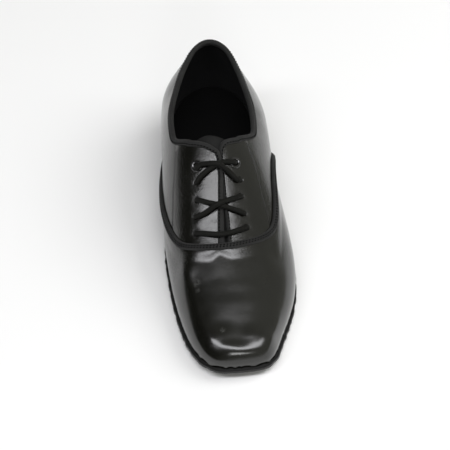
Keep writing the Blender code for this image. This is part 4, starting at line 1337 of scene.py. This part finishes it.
def heel_ring(height, inset):
    """Heel outline at a height: tapered down, raked at breast and back."""
    lines = np.linspace(float(line_at(BREAST + 3.0)), 1.0, 60)
    ring = []
    for side, order in ((1, lines), (-1, lines[::-1][1:])):
        ring += list(outline(side, order, lambda along: HEEL_MARGIN)[0])
    breast = np.linspace(ring[-1], ring[0], 24)[1:-1]
    ring = np.concatenate([ring, breast])
    down = 1.0 - height / (SEAT_HEIGHT - CEMENT)
    middle = 0.5 * (BREAST + LENGTH)
    x, along = ring[:, 0] * (1.0 - HEEL_TAPER * down), ring[:, 1]
    forward, backward = ease((middle - along) / 25.0), ease((along - middle) / 30.0)
    along = along + BREAST_RAKE * down * forward - BACK_RAKE * down * backward
    out = unit(np.stack([x - x.mean(), along - 0.5 * (along.min() + along.max())], -1))
    return np.stack([x, along], -1) - out * inset


def build_heel():
    rows = list(HEEL_FOOT)
    for height in np.arange(*HEEL_LEVELS):
        from_seam = 0.5 * LIFT_HEIGHT - abs((height - TOP_PIECE) % LIFT_HEIGHT - 0.5 * LIFT_HEIGHT)
        rows.append((height, GROOVE_DEPTH * math.exp(-(max(from_seam, 0.0) / GROOVE_HALF) ** 2)))
    rows += HEEL_HEAD
    rings = [heel_ring(height, inset) for height, inset in rows]
    points = [(px, py, height) for ring, (height, inset) in zip(rings, rows) for px, py in ring]
    width = len(rings[0])
    faces = ring_faces(len(rings), width)
    faces += [tuple(range(width)), tuple(range(len(points) - width, len(points)))]
    return write_piece("heel_lifts", points, faces)


def rubber_finish():
    """Dull rubber with fine moulded speckle."""
    rubber = Finish("top_piece_rubber")
    tones = (0.3, (0.012, 0.012, 0.012)), (0.75, (0.028, 0.028, 0.027))
    return rubber.wear(
        Base_Color=rubber.steps(rubber.noise(70.0, 4.0), *tones), Roughness=0.75,
        Normal=rubber.bump(rubber.noise(1300.0, 3.0), 0.4, 0.0002),
    )


heel = build_heel()
finish_piece(heel, heel_finish(), "heel_stack", "heel_block")
dress(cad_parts["heel_top_piece"], rubber_finish())


# The stage: a pale seamless floor, soft light from above and in front, a bright surround,
# and the camera at the photograph's angle.
FLOOR_HALF, FLOOR_TONE = 4.0, (0.90, 0.90, 0.90, 1.0)
floor_mesh = bpy.data.meshes.new("floor")
floor_corners = [(x * FLOOR_HALF, y * FLOOR_HALF, 0.0) for x, y in ((-1, -1), (1, -1), (1, 1), (-1, 1))]
floor_mesh.from_pydata(floor_corners, [], [(0, 1, 2, 3)])
floor = put("floor", floor_mesh)
floor_mesh.materials.append(Finish("floor_paper").wear(Base_Color=FLOOR_TONE, Roughness=0.9, Specular_IOR_Level=0.1))

world = bpy.data.worlds.new("studio")
bpy.context.scene.world = world
world.use_nodes = True
sky = Nodes(world.node_tree, "ShaderNode")
rightward = sky.add("SeparateXYZ", sky.add("TexCoord", out="Generated"), out="X")
sky_tone = sky.steps(
    sky.add("MapRange", rightward, -0.8, 0.5), (0.0, (0.03, 0.03, 0.028)), (1.0, (0.37, 0.37, 0.335)),
)
sky.feed(world.node_tree.nodes["Background"], {"Color": sky_tone, "Strength": 1.0})


def aimed(place, way, axis):
    """Pose at a place with one axis turned along a way."""
    return Matrix.Translation(place) @ way.to_track_quat(axis, "Y").to_matrix().to_4x4()


def soft_light(name, place, aim, width, height, power):
    lamp = bpy.data.lights.new(name, "AREA")
    lamp.shape = "RECTANGLE"
    lamp.size, lamp.size_y, lamp.energy = width, height, power
    holder = put(name, lamp)
    holder.matrix_world = aimed(place, Vector(aim) - Vector(place), "-Z")
    return holder


def soft_box(name, place, aim, width, height, glow):
    """Soft box whose brightness is given as seen in a reflection."""
    return soft_light(name, place, aim, width, height, glow * math.pi * width * height)


overhead = soft_box("overhead_box", (-0.86, -0.72, 2.45), (-0.86, -0.72, 0.0), 4.05, 0.61, 7.25)
overhead.data.color = (0.97, 0.97, 1.0)
front_aim = Vector((0.0, -0.04, 0.05))
front_place = front_aim + Vector((0.02, -0.86, 0.49)).normalized() * 1.5
soft_box("front_box", front_place, front_aim, 0.42, 0.36, 6.0)
room = soft_light("room_light", (1.35, 0.15, 1.4), (0.0, 0.0, 0.0), 1.3, 1.3, 19.0)
room.visible_glossy = False

ELEVATION, AZIMUTH, DISTANCE = math.radians(50.0), math.radians(-5.6), 1.15
SENSOR, PIXELS, PIXELS_PER_METRE = 36.0, 450.0, 1260.0
AIM_DISTANCE, AIM_HEIGHT = 121.1, 35.0
aim = Vector((-CENTRE_X, AIM_DISTANCE - CENTRE_ALONG, AIM_HEIGHT)) * 0.001
back = Vector((
    math.sin(AZIMUTH) * math.cos(ELEVATION), -math.cos(AZIMUTH) * math.cos(ELEVATION), math.sin(ELEVATION),
))
lens = bpy.data.cameras.new("camera")
lens.sensor_width = SENSOR
lens.lens = SENSOR * PIXELS_PER_METRE * DISTANCE / PIXELS
camera = put("camera", lens)
camera.matrix_world = aimed(aim + back * DISTANCE, back, "Z")
bpy.context.scene.camera = camera
bpy.context.scene.view_settings.view_transform = "Standard"

bpy.context.view_layer.update()
